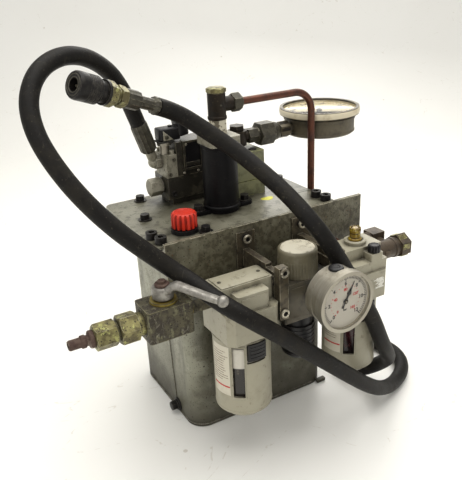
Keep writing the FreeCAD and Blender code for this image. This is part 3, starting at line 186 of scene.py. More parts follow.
def effect(name, inputs):
    """An empty node group with these inputs, in (name, default) pairs, and one mask output."""
    tree = bpy.data.node_groups.new(name, "ShaderNodeTree")
    for label, default in inputs:
        kind = "NodeSocketVector" if isinstance(default, tuple) else "NodeSocketFloat"
        socket = tree.interface.new_socket(label, in_out="INPUT", socket_type=kind)
        socket.default_value = default
    tree.interface.new_socket("Mask", in_out="OUTPUT", socket_type="NodeSocketFloat")
    net = Net(tree)
    source = tree.nodes.new("NodeGroupInput")
    sink = tree.nodes.new("NodeGroupOutput")
    return net, source.outputs, sink.inputs["Mask"]


def spread(net, stretch):
    """Object coordinates stretched by a vector, so that an effect can run one way."""
    place = net.add("TexCoord").outputs["Object"]
    scaled = net.add("VectorMath", {0: place, 1: stretch}, operation="MULTIPLY")
    return scaled.outputs[0]


def make_patches():
    net, take, give = effect("Patches", [("Scale", 40.0), ("Detail", 6.0), ("Low", 0.45),
                                         ("High", 0.6), ("Stretch", (1.0, 1.0, 1.0))])
    noise = net.add("TexNoise", {"Vector": spread(net, take["Stretch"]), "Scale": take["Scale"],
                                 "Detail": take["Detail"], "Roughness": 0.62})
    net.tree.links.new(net.ramp(noise.outputs["Fac"], take["Low"], take["High"]), give)


def make_specks():
    net, take, give = effect("Specks", [("Scale", 300.0), ("Size", 0.25), ("Share", 0.5)])
    place = spread(net, (1.0, 1.0, 1.0))
    bend = net.add("TexNoise", {"Vector": place, "Scale": take["Scale"], "Detail": 2.0})
    shift = net.add("VectorMath", {0: bend.outputs["Color"], 1: (0.0012, 0.0012, 0.0012)},
                    operation="MULTIPLY")
    moved = net.add("VectorMath", {0: place, 1: shift.outputs[0]}, operation="ADD")
    cells = net.add("TexVoronoi", {"Vector": moved.outputs[0], "Scale": take["Scale"]})
    near = net.math("LESS_THAN", cells.outputs["Distance"], take["Size"])
    pick = net.add("SeparateColor", {"Color": cells.outputs["Color"]})
    kept = net.math("LESS_THAN", pick.outputs[0], take["Share"])
    net.tree.links.new(net.math("MULTIPLY", near, kept), give)


def make_scratches():
    net, take, give = effect("Scratches", [("Scale", 60.0), ("Width", 0.02),
                                           ("Stretch", (1.0, 4.0, 1.0))])
    noise = net.add("TexNoise", {"Vector": spread(net, take["Stretch"]), "Scale": take["Scale"],
                                 "Detail": 3.0, "Distortion": 1.2})
    middle = net.math("ABSOLUTE", net.math("SUBTRACT", noise.outputs["Fac"], 0.5))
    line = net.math("LESS_THAN", middle, take["Width"])
    where = net.add("TexNoise", {"Vector": spread(net, (1.0, 1.0, 1.0)), "Scale": 90.0})
    kept = net.ramp(where.outputs["Fac"], 0.5, 0.6)
    net.tree.links.new(net.math("MULTIPLY", line, kept), give)


def make_edge_wear():
    net, take, give = effect("Edge Wear", [("Radius", 0.001), ("Scale", 150.0), ("Amount", 1.0)])
    rounded = net.add("Bevel", {"Radius": take["Radius"]}, samples=6)
    flat = net.add("NewGeometry").outputs["Normal"]
    agree = net.add("VectorMath", {0: rounded.outputs[0], 1: flat}, operation="DOT_PRODUCT")
    bent = net.math("SUBTRACT", 1.0, agree.outputs["Value"])
    noise = net.add("TexNoise", {"Vector": spread(net, (1.0, 1.0, 1.0)), "Scale": take["Scale"],
                                 "Detail": 5.0})
    broken = net.math("MULTIPLY", bent, net.ramp(noise.outputs["Fac"], 0.38, 0.62))
    wear = net.math("MULTIPLY", broken, net.math("MULTIPLY", take["Amount"], 9.0), clamp=True)
    net.tree.links.new(wear, give)


# Painted shade: an ambient occlusion mask that darkens corners, hollows and faces close behind
# other parts, broken up with noise.
def make_crevice():
    net, take, give = effect("Crevice Shade And Dirt", [("Reach", 0.012), ("Amount", 1.0),
                                              ("Scale", 90.0)])
    shut = net.add("AmbientOcclusion", {"Distance": take["Reach"]}, samples=6)
    dark = net.math("SUBTRACT", 1.0, shut.outputs["AO"])
    noise = net.add("TexNoise", {"Vector": spread(net, (1.0, 1.0, 1.0)), "Scale": take["Scale"],
                                 "Detail": 5.0})
    rough = net.math("ADD", net.ramp(noise.outputs["Fac"], 0.3, 0.7), 0.35)
    shade_and_dirt = net.math("MULTIPLY", net.math("MULTIPLY", dark, rough), take["Amount"], clamp=True)
    net.tree.links.new(shade_and_dirt, give)


def make_height_fade():
    net, take, give = effect("Height Fade", [("Low", 0.0), ("High", 0.06), ("Scale", 60.0)])
    place = spread(net, (1.0, 1.0, 1.0))
    noise = net.add("TexNoise", {"Vector": place, "Scale": take["Scale"], "Detail": 5.0})
    lift = net.math("MULTIPLY", net.math("SUBTRACT", noise.outputs["Fac"], 0.5), 0.05)
    height = net.math("ADD", net.add("SeparateXYZ", {0: place}).outputs["Z"], lift)
    fade = net.add("MapRange", {"Value": height, "From Min": take["Low"], "From Max": take["High"],
                                "To Min": 1.0, "To Max": 0.0}, interpolation_type="SMOOTHSTEP")
    net.tree.links.new(fade.outputs["Result"], give)


def make_bands():
    net, take, give = effect("Bands", [("Step", 0.001), ("Share", 0.5), ("Axis", (0.0, 0.0, 1.0))])
    place = net.add("TexCoord").outputs["Object"]
    along = net.add("VectorMath", {0: place, 1: take["Axis"]}, operation="DOT_PRODUCT")
    turns = net.math("FRACT", net.math("DIVIDE", along.outputs["Value"], take["Step"]))
    net.tree.links.new(net.math("LESS_THAN", turns, take["Share"]), give)


def make_effects():
    for maker in (make_patches, make_specks, make_scratches, make_edge_wear, make_crevice,
                  make_height_fade, make_bands):
        maker()


def use_effect(net, name, values):
    node = net.add("Group", node_tree=bpy.data.node_groups[name])
    for key, value in values.items():
        node.inputs[key].default_value = value
    return node.outputs["Mask"]


def finish(name, base, rough, metal=0.0, layers=(), bumps=(), soft=0.0004, **plain):
    """A finish built from a base colour and layers laid over it, each with its own mask.

    A layer is (effect, values, colour, strength, roughness, metallic). A bump is (effect,
    values, depth in metres). Any other word sets a plain value on the shader.
    """
    mat = bpy.data.materials.new(name)
    mat.use_nodes = True
    net = Net(mat.node_tree)
    shader = mat.node_tree.nodes["Principled BSDF"]
    colour, roughness, metallic = tuple(base[:3]) + (1.0,), rough, metal
    vary_rough = any(layer[4] != rough for layer in layers)
    vary_metal = any(layer[5] != metal for layer in layers)
    for group, values, tint, strength, layer_rough, layer_metal in layers:
        mask = use_effect(net, group, values)
        if strength != 1.0:
            mask = net.math("MULTIPLY", mask, strength)
        mix = net.add("Mix", {"Factor": mask}, data_type="RGBA")
        colour_in = [s for s in mix.inputs if s.type == "RGBA"]
        for socket, value in zip(colour_in, (colour, tuple(tint[:3]) + (1.0,))):
            if isinstance(value, bpy.types.NodeSocket):
                net.tree.links.new(value, socket)
            else:
                socket.default_value = value
        colour = [s for s in mix.outputs if s.type == "RGBA"][0]
        if vary_rough:
            roughness = net.add("Mix", {0: mask, 2: roughness, 3: layer_rough}).outputs[0]
        if vary_metal:
            metallic = net.add("Mix", {0: mask, 2: metallic, 3: layer_metal}).outputs[0]
    for key, value in (("Base Color", colour), ("Roughness", roughness), ("Metallic", metallic)):
        if isinstance(value, bpy.types.NodeSocket):
            net.tree.links.new(value, shader.inputs[key])
        else:
            shader.inputs[key].default_value = value
    normal = None
    if soft:
        normal = net.add("Bevel", {"Radius": soft}, samples=4).outputs[0]
    for group, values, depth in bumps:
        inputs = {"Height": use_effect(net, group, values), "Distance": depth, "Strength": 1.0}
        if normal is not None:
            inputs["Normal"] = normal
        normal = net.add("Bump", inputs).outputs[0]
    if normal is not None:
        net.tree.links.new(normal, shader.inputs["Normal"])
    for key, value in plain.items():
        shader.inputs[key.replace("_", " ")].default_value = value
    return mat


def layer(group, values, look):
    """A layer of a finish. Look is its colour, strength and roughness, and on metal metallic."""
    colour, strength, rough, *metal = look
    return group, values, colour, strength, rough, metal[0] if metal else 0.0


def patches(scale, low, high, *look, detail=6, stretch=(1.0, 1.0, 1.0)):
    """Cloudy patches, which fade in between two levels of the noise."""
    return layer("Patches", {"Scale": scale, "Low": low, "High": high, "Detail": detail,
                             "Stretch": stretch}, look)


def specks(scale, size, share, *look):
    """Small spots, on a share of the places where one could be."""
    return layer("Specks", {"Scale": scale, "Size": size, "Share": share}, look)


def scratches(scale, width, stretch, *look):
    """Thin wandering lines, run out along one way."""
    return layer("Scratches", {"Scale": scale, "Width": width, "Stretch": stretch}, look)


def wear(radius, scale, amount, *look):
    """What shows where edges have worn."""
    return layer("Edge Wear", {"Radius": radius, "Scale": scale, "Amount": amount}, look)


def shade_and_dirt(reach, amount, *look, scale=90):
    """Painted shade in corners and hollows, found by ambient occlusion out to a reach in metres
    and broken up with noise like dirt.
    """
    return layer("Crevice Shade And Dirt", {"Reach": reach, "Amount": amount, "Scale": scale}, look)


def fade(low, high, scale, *look):
    """A layer that fades out upwards between two heights in metres."""
    return layer("Height Fade", {"Low": low, "High": high, "Scale": scale}, look)


def bands(step, share, *look):
    """Level bands, one to each step in metres."""
    return layer("Bands", {"Step": step, "Share": share}, look)


def grain(scale, depth, spread=0.2, detail=6, stretch=(1.0, 1.0, 1.0)):
    """A bump of fine patches, with its depth in metres."""
    return "Patches", {"Scale": scale, "Low": 0.5 - spread, "High": 0.5 + spread,
                       "Detail": detail, "Stretch": stretch}, depth


def painted_finishes(paint):
    """Paint on sheet metal, blocks, cases and bowl guards."""
    tank = tuple(paint.tank_colour)
    grime = tuple(paint.grime_colour)
    worn_back = paint.edge_wear
    bare = shade(176, 172, 156)
    f = {}
    f["tank"] = finish("tank paint", tank, 0.42, 0.0, [
        patches(14, 0.42, 0.66, shade(118, 116, 98), 0.75, 0.5),
        patches(60, 0.5, 0.66, shade(96, 92, 74), 0.6, 0.5, detail=8),
        patches(26, 0.53, 0.68, grime, 0.62, 0.34, stretch=(1.6, 1.6, 0.16)),
        patches(34, 0.6, 0.7, shade(182, 182, 166), 0.5, 0.5, stretch=(1.0, 1.0, 0.5)),
        patches(11, 0.5, 0.62, shade(68, 64, 48), 0.6, 0.4, detail=9, stretch=(1.0, 1.0, 0.45)),
        fade(0, 0.055, 40, shade(54, 50, 38), 0.75, 0.5),
        fade(0, 0.17, 22, shade(84, 80, 64), 0.45, 0.5),
        specks(210, 0.24, 0.2, shade(48, 43, 32), 0.9, 0.6),
        specks(520, 0.3, 0.28, shade(70, 65, 50), 0.8, 0.6),
        # Painted shade: these two layers darken the tank front behind the air row and into its
        # corners, by ambient occlusion.
        shade_and_dirt(0.1, 1.9, shade(50, 46, 33), 0.78, 0.5, scale=28),
        shade_and_dirt(0.014, 1.3, shade(38, 35, 26), 0.9, 0.6),
        wear(worn_back, 120, 1, bare, 0.8, 0.35, 0.5),
    ], [grain(220, 0.00010), grain(12, 0.0006)])
    f["lid"] = finish("lid paint", shade(134, 132, 116), 0.34, 0.0, [
        patches(18, 0.4, 0.62, shade(96, 94, 80), 0.8, 0.3),
        patches(90, 0.52, 0.62, shade(72, 69, 55), 0.7, 0.4, detail=8),
        # Painted shade: these two layers darken the lid round the parts that stand on it and into
        # its corners, by ambient occlusion.
        shade_and_dirt(0.09, 1.5, shade(58, 55, 42), 0.8, 0.3, scale=40),
        shade_and_dirt(0.022, 1.6, shade(36, 34, 24), 0.95, 0.3),
        specks(260, 0.22, 0.18, shade(52, 48, 38), 0.8, 0.5),
        wear(worn_back, 160, 1.2, bare, 0.85, 0.35, 0.4),
    ], [grain(260, 0.00012)])
    f["plate"] = finish("plate paint", shade(94, 90, 72), 0.38, 0.0, [
        patches(170, 0.44, 0.56, shade(66, 61, 46), 0.9, 0.42, detail=8),
        patches(40, 0.5, 0.66, shade(120, 117, 98), 0.6, 0.4),
        specks(330, 0.26, 0.3, shade(40, 34, 24), 0.85, 0.6),
        specks(190, 0.16, 0.12, shade(96, 62, 36), 0.8, 0.7),
        # Painted shade in the plate's corners, by ambient occlusion.
        shade_and_dirt(0.03, 1.2, shade(34, 31, 22), 0.85, 0.45),
        wear(0.0018, 130, 1.5, shade(196, 190, 168), 0.95, 0.35, 0.5),
    ], [grain(260, 0.00022, 0.15)])
    f["olive block"] = finish("olive block paint", shade(122, 122, 92), 0.4, 0.0, [
        patches(70, 0.45, 0.62, shade(90, 90, 66), 0.8, 0.45, detail=8),
        # Painted shade in the block's corners, by ambient occlusion.
        shade_and_dirt(0.01, 1.5, shade(28, 26, 16), 0.95, 0.5),
        wear(0.0014, 150, 1.3, shade(176, 178, 116), 0.9, 0.35, 0.2),
    ], [grain(300, 0.0001, 0.15)])
    f["cream"] = finish("cream grey paint", shade(158, 153, 133), 0.4, 0.0, [
        patches(30, 0.5, 0.7, shade(136, 130, 110), 0.6, 0.45),
        patches(120, 0.58, 0.7, shade(98, 90, 70), 0.6, 0.5, detail=8),
        # Painted shade in the corners of the cream bodies, by ambient occlusion.
        shade_and_dirt(0.008, 1.5, shade(46, 40, 28), 0.9, 0.6),
        wear(0.0009, 200, 0.8, shade(196, 192, 174), 0.6, 0.4),
    ], [grain(420, 0.00006)])
    f["dark dial case"] = finish("painted gauge case", shade(92, 84, 66), 0.42, 0.1, [
        patches(60, 0.44, 0.64, shade(62, 55, 42), 0.8, 0.5, detail=8),
        # Painted shade in the case's corners, by ambient occlusion.
        shade_and_dirt(0.012, 1.2, shade(28, 23, 16), 0.9, 0.6),
    ], [grain(300, 0.0001, 0.15)])
    f["cream rim"] = finish("cream gauge rim", shade(214, 204, 178), 0.4, 0.0, [
        patches(70, 0.52, 0.68, shade(178, 164, 132), 0.7, 0.5, detail=8),
        # Painted shade in the rim's corners, by ambient occlusion.
        shade_and_dirt(0.005, 1, shade(96, 82, 58), 0.8, 0.6),
    ])
    f["yellow paint"] = finish("yellow paint mark", shade(206, 204, 24), 0.45, 0.0, [
        patches(200, 0.5, 0.66, shade(150, 148, 24), 0.7, 0.5),
    ])
    return f


def plated_finishes():
    """Plated, oxidised and rusty steel."""
    f = {}
    f["black steel"] = finish("black oxide steel", shade(24, 22, 22), 0.38, 0.3, [
        patches(180, 0.45, 0.65, shade(46, 43, 38), 0.5, 0.5, 0.2),
        wear(0.0006, 300, 1, shade(120, 116, 106), 0.6, 0.35, 0.8),
    ], [grain(500, 0.00005)], Specular_IOR_Level=0.3)
    f["barrel"] = finish("black barrel", shade(12, 11, 13), 0.4, 0.0, [
        patches(60, 0.5, 0.72, shade(24, 22, 22), 0.6, 0.5, stretch=(1.0, 1.0, 0.3)),
        scratches(130, 0.012, (1.0, 1.0, 3.0), shade(52, 50, 47), 0.35, 0.5),
    ], [grain(400, 0.00004)], Specular_IOR_Level=0.14)
    f["zinc"] = finish("yellow zinc plate", shade(134, 128, 86), 0.38, 0.7, [
        patches(120, 0.42, 0.6, shade(84, 76, 50), 0.9, 0.5, 0.4, detail=8),
        patches(95, 0.56, 0.62, shade(176, 176, 112), 0.75, 0.36, 0.6, detail=8),
        specks(360, 0.3, 0.42, shade(50, 43, 30), 0.9, 0.7, 0.1),
        # Painted shade in corners, by ambient occlusion.
        shade_and_dirt(0.006, 1.2, shade(40, 35, 24), 0.9, 0.6),
        wear(0.0008, 220, 1, shade(206, 202, 168), 0.8, 0.3, 0.9),
    ], [grain(260, 0.00018, 0.15)])
    f["grey steel"] = finish("dull plated steel", shade(76, 73, 62), 0.42, 0.6, [
        patches(130, 0.42, 0.6, shade(50, 47, 39), 0.85, 0.5, 0.4, detail=8),
        # Painted shade in corners, by ambient occlusion.
        shade_and_dirt(0.006, 1.2, shade(26, 24, 18), 0.95, 0.6),
        wear(0.0008, 220, 1, shade(168, 160, 140), 0.8, 0.3, 0.9),
    ], [grain(300, 0.00012, 0.15)])
    f["rust"] = finish("rusty steel", shade(84, 66, 56), 0.62, 0.3, [
        patches(200, 0.42, 0.58, shade(62, 42, 35), 0.9, 0.8, detail=8),
        patches(90, 0.55, 0.66, shade(122, 108, 96), 0.7, 0.5, 0.4),
    ], [grain(420, 0.0002)])
    f["bright steel"] = finish("chipped bright plate", shade(196, 190, 172), 0.3, 0.85, [
        patches(150, 0.5, 0.56, shade(88, 80, 64), 0.9, 0.6, 0.3, detail=8),
        specks(420, 0.26, 0.3, shade(60, 54, 42), 0.8, 0.6, 0.1),
    ], [grain(300, 0.0001, 0.15)])
    f["stainless"] = finish("brushed stainless", shade(168, 163, 150), 0.4, 0.9, [
        patches(160, 0.3, 0.7, shade(134, 128, 114), 0.5, 0.46, 0.9, stretch=(0.2, 4.0, 0.2)),
        patches(50, 0.55, 0.7, shade(118, 110, 94), 0.5, 0.5, 0.8),
    ], [grain(500, 0.00003, stretch=(0.15, 3.0, 0.15))])
    f["polished steel"] = finish("polished bezel", shade(222, 218, 206), 0.13, 1.0, [
        patches(90, 0.5, 0.7, shade(186, 178, 160), 0.5, 0.26, 1),
    ], soft=0.0003)
    f["bracket"] = finish("dark bracket", shade(92, 84, 68), 0.34, 0.55, [
        patches(110, 0.46, 0.62, shade(52, 46, 36), 0.85, 0.5, 0.3, detail=8),
        # Painted shade in the bracket's corners, by ambient occlusion.
        shade_and_dirt(0.01, 1.5, shade(20, 17, 12), 0.95, 0.6),
        wear(0.0012, 170, 1.4, shade(176, 168, 146), 0.9, 0.35, 0.7),
    ], [grain(300, 0.0001, 0.15)])
    return f


def cast_finishes():
    """Cast and machined alloy, brass and copper."""
    f = {}
    f["dark bronze"] = finish("oiled dark brass", shade(38, 31, 23), 0.42, 0.45, [
        patches(120, 0.45, 0.62, shade(24, 20, 16), 0.8, 0.5, 0.2, detail=8),
        specks(420, 0.2, 0.3, shade(82, 72, 54), 0.6, 0.5, 0.4),
        wear(0.0008, 200, 1.1, shade(122, 110, 84), 0.7, 0.35, 0.9),
    ], [grain(330, 0.0001)], Specular_IOR_Level=0.3)
    f["cast zinc"] = finish("cast zinc lever", shade(150, 147, 140), 0.38, 0.8, [
        patches(140, 0.42, 0.6, shade(112, 108, 102), 0.7, 0.5, 0.6, detail=8),
        # Painted shade in the lever's corners, by ambient occlusion.
        shade_and_dirt(0.006, 0.9, shade(48, 42, 34), 0.8, 0.6, 0.1),
        wear(0.001, 220, 0.8, shade(206, 203, 194), 0.7, 0.3, 0.9),
    ], [grain(300, 0.00012, 0.15)])
    f["head block"] = finish("dull alloy", shade(146, 142, 126), 0.46, 0.35, [
        patches(120, 0.46, 0.6, shade(108, 104, 88), 0.7, 0.5, 0.2, detail=8),
        specks(380, 0.24, 0.25, shade(62, 57, 46), 0.8, 0.6),
        # Painted shade in corners, by ambient occlusion.
        shade_and_dirt(0.008, 1.2, shade(36, 32, 24), 0.9, 0.6),
        wear(0.001, 200, 1, shade(200, 196, 180), 0.8, 0.3, 0.6),
    ], [grain(300, 0.00012, 0.15)])
    f["dark block"] = finish("oily dark block", shade(46, 43, 36), 0.36, 0.3, [
        patches(90, 0.48, 0.62, shade(78, 74, 60), 0.7, 0.42, 0.3, detail=8),
        # Painted shade in the block's corners, by ambient occlusion.
        shade_and_dirt(0.01, 1.3, shade(16, 14, 10), 0.95, 0.4),
        wear(0.0012, 170, 1.3, shade(136, 130, 108), 0.8, 0.35, 0.6),
    ], [grain(300, 0.00012, 0.15)])
    f["valve cube"] = finish("corroded valve block", shade(82, 77, 58), 0.5, 0.35, [
        patches(90, 0.42, 0.56, shade(50, 43, 33), 0.95, 0.62, 0.15, detail=10),
        patches(180, 0.56, 0.62, shade(118, 116, 88), 0.7, 0.5, 0.3, detail=10,
                stretch=(1.0, 1.0, 0.5)),
        scratches(90, 0.02, (1.2, 1.2, 0.6), shade(150, 145, 128), 0.4, 0.5, 0.4),
        specks(300, 0.3, 0.3, shade(38, 32, 24), 0.9, 0.7),
        wear(0.0016, 180, 1, shade(150, 144, 112), 0.8, 0.4, 0.7),
    ], [grain(170, 0.0007, 0.12, detail=8), grain(420, 0.0002)])
    f["regulator"] = finish("dark regulator body", shade(88, 82, 68), 0.4, 0.3, [
        patches(60, 0.46, 0.64, shade(58, 53, 42), 0.8, 0.5, 0.1),
        # Painted shade, strong, in the regulator's corners and round the knob, by ambient
        # occlusion.
        shade_and_dirt(0.02, 1.7, shade(16, 14, 11), 0.95, 0.6),
        wear(0.001, 180, 1.2, shade(140, 132, 112), 0.8, 0.35, 0.4),
    ], [grain(420, 0.00006)])
    f["copper"] = finish("tarnished copper", shade(96, 60, 47), 0.36, 0.75, [
        patches(60, 0.44, 0.64, shade(62, 38, 30), 0.85, 0.45, 0.5, detail=8),
        patches(160, 0.58, 0.7, shade(44, 32, 26), 0.7, 0.6, 0.2),
        specks(330, 0.2, 0.2, shade(128, 88, 68), 0.6, 0.4, 0.9),
    ], [grain(330, 0.00008)])
    f["brass"] = finish("dull brass", shade(146, 130, 62), 0.34, 0.75, [
        patches(130, 0.46, 0.62, shade(108, 88, 32), 0.8, 0.45, 0.6, detail=8),
        # Painted shade in corners, by ambient occlusion.
        shade_and_dirt(0.005, 1.2, shade(46, 36, 14), 0.9, 0.6, 0.1),
    ], [grain(300, 0.00008, 0.15)])
    f["brown fitting"] = finish("brown fitting", shade(76, 64, 50), 0.42, 0.35, [
        patches(90, 0.44, 0.62, shade(52, 43, 33), 0.85, 0.5, 0.2, detail=8),
        # Painted shade in the fitting's corners, by ambient occlusion.
        shade_and_dirt(0.006, 1.2, shade(34, 27, 19), 0.9, 0.6),
        wear(0.0008, 220, 0.9, shade(128, 112, 86), 0.7, 0.35, 0.6),
    ], [grain(300, 0.0001, 0.15)])
    return f


def plastic_finishes():
    """Plastic, rubber, fibre and the bowls."""
    f = {}
    f["knob cream"] = finish("knob plastic", shade(104, 99, 80), 0.42, 0.0, [
        fade(0.2368, 0.2372, 1, shade(108, 102, 82), 1, 0.42),
        patches(70, 0.5, 0.7, shade(84, 79, 60), 0.6, 0.5),
    ], [grain(420, 0.00004)])
    f["knob top"] = finish("scratched knob top", shade(206, 200, 180), 0.42, 0.0, [
        scratches(70, 0.03, (1.0, 3.0, 1.0), shade(120, 110, 88), 0.7, 0.5),
        scratches(110, 0.02, (4.0, 1.0, 1.0), shade(140, 130, 108), 0.6, 0.5),
        patches(60, 0.5, 0.7, shade(184, 176, 152), 0.6, 0.45),
    ])
    f["black plastic"] = finish("moulded black", shade(19, 18, 20), 0.36, 0.0, [
        patches(90, 0.5, 0.7, shade(34, 32, 32), 0.5, 0.5),
        wear(0.0007, 240, 0.8, shade(84, 81, 76), 0.6, 0.45),
    ], [grain(500, 0.00004)], Specular_IOR_Level=0.32)
    f["red plastic"] = finish("orange red cap", shade(206, 42, 14), 0.42, 0.0, [
        patches(80, 0.5, 0.7, shade(176, 32, 10), 0.6, 0.45),
        # Painted shade in the slots between the ribs, by ambient occlusion.
        shade_and_dirt(0.004, 1.8, shade(52, 8, 4), 0.95, 0.6),
    ])
    f["rubber"] = finish("dusty hose rubber", shade(19, 17, 15), 0.52, 0.0, [
        patches(55, 0.46, 0.68, shade(38, 35, 29), 0.6, 0.7, detail=8),
        patches(16, 0.5, 0.7, shade(15, 14, 14), 0.7, 0.45),
        scratches(60, 0.008, (1.0, 1.0, 1.0), shade(70, 66, 56), 0.45, 0.7),
        specks(330, 0.18, 0.2, shade(76, 71, 60), 0.5, 0.8),
    ], [grain(420, 0.00012)], soft=0, Specular_IOR_Level=0.17)
    f["seal"] = finish("seal rubber", shade(30, 29, 26), 0.6, 0.0, [
        patches(90, 0.45, 0.65, shade(56, 52, 42), 0.6, 0.7),
    ])
    f["clear bowl"] = finish("clear bowl", shade(206, 201, 188), 0.16, 0.0, [
        fade(0.1275, 0.129, 2, shade(34, 30, 26), 1, 0.2),
        patches(60, 0.5, 0.7, shade(150, 140, 118), 0.5, 0.3),
    ], soft=0)
    f["oily bowl"] = finish("oily bowl", shade(52, 18, 22), 0.14, 0.0, [
        fade(0.10, 0.13, 3, shade(18, 10, 12), 1, 0.2),
        patches(60, 0.55, 0.7, shade(92, 52, 50), 0.4, 0.3),
    ], soft=0)
    f["yellow sight"] = finish("yellow sight glass", shade(124, 98, 30), 0.16, 0.1, [
        bands(0.0052, 0.28, shade(58, 43, 14), 0.8, 0.25, 0.1),
        patches(160, 0.5, 0.62, shade(164, 146, 52), 0.7, 0.2, 0.1),
    ], soft=0)
    f["filter fibre"] = finish("filter fibre", shade(206, 202, 188), 0.8, 0.0, [
        bands(0.003, 0.4, shade(150, 144, 126), 0.8, 0.85),
    ])
    return f


def printed_finishes():
    """Dial cards, inks and labels."""
    f = {}
    f["dial face"] = finish("grey dial card", shade(196, 190, 176), 0.5, 0.0, [
        patches(50, 0.5, 0.75, shade(178, 170, 154), 0.5, 0.55),
    ], soft=0)
    f["old dial face"] = finish("yellowed dial card", shade(206, 190, 144), 0.5, 0.0, [
        patches(40, 0.45, 0.7, shade(190, 172, 128), 0.6, 0.55),
    ], soft=0)
    f["dial ink"] = finish("black dial ink", shade(38, 36, 34), 0.5, 0.0, [
        patches(300, 0.5, 0.7, shade(56, 53, 50), 0.4, 0.5),
    ], soft=0)
    f["red ink"] = finish("red ink", shade(186, 44, 40), 0.5, 0.0, [
        patches(300, 0.5, 0.7, shade(204, 84, 74), 0.4, 0.5),
    ], soft=0)
    f["label"] = finish("label film", shade(204, 198, 180), 0.44, 0.0, [
        patches(90, 0.5, 0.7, shade(184, 176, 154), 0.5, 0.5),
    ], soft=0)
    f["badge"] = finish("worn badge", shade(146, 141, 122), 0.42, 0.0, [
        patches(95, 0.5, 0.53, shade(226, 224, 214), 0.95, 0.4, stretch=(1.0, 1.0, 1.6)),
    ], soft=0)
    f["label ink"] = finish("label ink", shade(110, 92, 78), 0.5, 0.0, [
        patches(600, 0.45, 0.55, shade(188, 178, 158), 0.7, 0.5),
    ], soft=0)
    return f


def make_finishes(paint):
    """Every finish on the unit, by the name of what it is."""
    glass = finish("gauge glass", (1.0, 1.0, 1.0), 0.04, 0.0, soft=0, Transmission_Weight=1.0,
                   IOR=1.1)
    return {**painted_finishes(paint), **plated_finishes(), **cast_finishes(),
            **plastic_finishes(), **printed_finishes(), "glass": glass}


FINISH_OF_NODE = {
    "tank": ["tank"], "lid": ["lid_plate"], "plate": ["front_plate"], "seal": ["lid_gasket"],
    "black steel": ["socket_screws", "flange_bolts", "coupler_body"],
    "barrel": ["pump_barrel"],
    "dark bronze": ["tee_body", "banjo_eye", "banjo_bolt"],
    "bright steel": ["riser_hex"],
    "zinc": ["suction_pipe", "pump_piston", "valve_spool", "valve_ball"],
    "grey steel": ["gauge_union", "return_union", "tee_nuts", "manifold_plug"],
    "stainless": ["air_gauge", "solenoid_coil"],
    "head block": ["barrel_head", "port_block", "hose_fitting"],
    "olive block": ["pressure_block"],
    "dark block": ["valve_manifold", "valve_body", "solenoid_cover"],
    "dark dial case": ["pressure_gauge"],
    "valve cube": ["ball_valve_body"],
    "cream": ["filter_body", "lubricator_body", "filter_bowl", "lubricator_bowl"],
    "regulator": ["regulator_body"],
    "knob cream": ["regulator_knob"],
    "bracket": ["t_brackets"],
    "copper": ["return_pipe", "air_pipe"],
    "yellow sight": ["sight_dome"],
    "brown fitting": ["outlet_tee"],
    "black plastic": ["filler_neck", "coil_connector", "override_button", "regulator_tail",
                      "filter_lock", "lubricator_lock"],
    "dial ink": ["pressure_pointer", "air_pointer"],
    "filter fibre": ["filter_element"],
    "rust": ["inlet_plug"],
    "cast zinc": ["valve_lever"],
}
FINISHES = {}


def piece(name, verts, faces, finish_name, body=ROOT, smooth=38, matrix=None, slot=None):
    """A mesh piece, given in millimetres, that moves with one body of the frame."""
    move = matrix or Matrix.Identity(4)
    mesh = bpy.data.meshes.new(name)
    mesh.from_pydata([(move @ Vector(v)) * MM for v in verts], [], faces)
    mesh.validate()
    bm = bmesh.new()
    bm.from_mesh(mesh)
    bmesh.ops.remove_doubles(bm, verts=bm.verts, dist=1e-6)
    bmesh.ops.recalc_face_normals(bm, faces=bm.faces)
    bm.to_mesh(mesh)
    bm.free()
    if smooth:
        mesh.polygons.foreach_set("use_smooth", [True] * len(mesh.polygons))
        mesh.set_sharp_from_angle(angle=math.radians(smooth))
    mesh.materials.append(FINISHES[finish_name])
    obj = bpy.data.objects.new(name, mesh)
    bpy.context.scene.collection.objects.link(obj)
    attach(obj, body)
    return obj


def stood(at, way=(0, 0, 1), turn=0.0):
    """The matrix that stands a piece drawn along +Z at a point, along a direction."""
    rotation = Vector(way).normalized().to_track_quat("Z", "Y").to_matrix().to_4x4()
    return Matrix.Translation(Vector(at)) @ rotation @ Matrix.Rotation(math.radians(turn), 4, "Z")


def eased(profile, cut=0.5):
    """A profile with its inner corners rounded off by three short steps."""
    points = [Vector(p) for p in profile]
    result = [points[0]]
    for before, corner, after in zip(points, points[1:], points[2:]):
        to_before, to_after = before - corner, after - corner
        step = min(cut, 0.4 * to_before.length, 0.4 * to_after.length)
        if step < 0.02:
            result.append(corner)
            continue
        a = corner + to_before.normalized() * step
        b = corner + to_after.normalized() * step
        result += [a, a * 0.25 + b * 0.25 + corner * 0.5, b]
    result.append(points[-1])
    return [tuple(p) for p in result]


def turned(profile, segments=64, ripple=None, start=0.0, sweep=360.0):
    """Verts and faces of a profile of (radius, height) turned about Z.

    ripple(angle, radius, height) may give another radius. A sweep under 360 stays open.
    """
    verts, faces, rings = [], [], []
    whole = sweep >= 360
    count = segments if whole else segments + 1
    for radius, height in profile:
        if radius < 1e-6:
            rings.append([len(verts)] * count)
            verts.append((0, 0, height))
            continue
        ring = []
        for i in range(count):
            angle = math.radians(start + sweep * i / segments)
            r = ripple(angle, radius, height) if ripple else radius
            ring.append(len(verts))
            verts.append((r * math.cos(angle), r * math.sin(angle), height))
        rings.append(ring)
    for low, high in zip(rings, rings[1:]):
        for i in range(segments):
            j = (i + 1) % count
            face = [low[i], low[j], high[j], high[i]]
            kept = [v for k, v in enumerate(face) if v not in face[:k]]
            if len(kept) > 2:
                faces.append(kept)
    return verts, faces


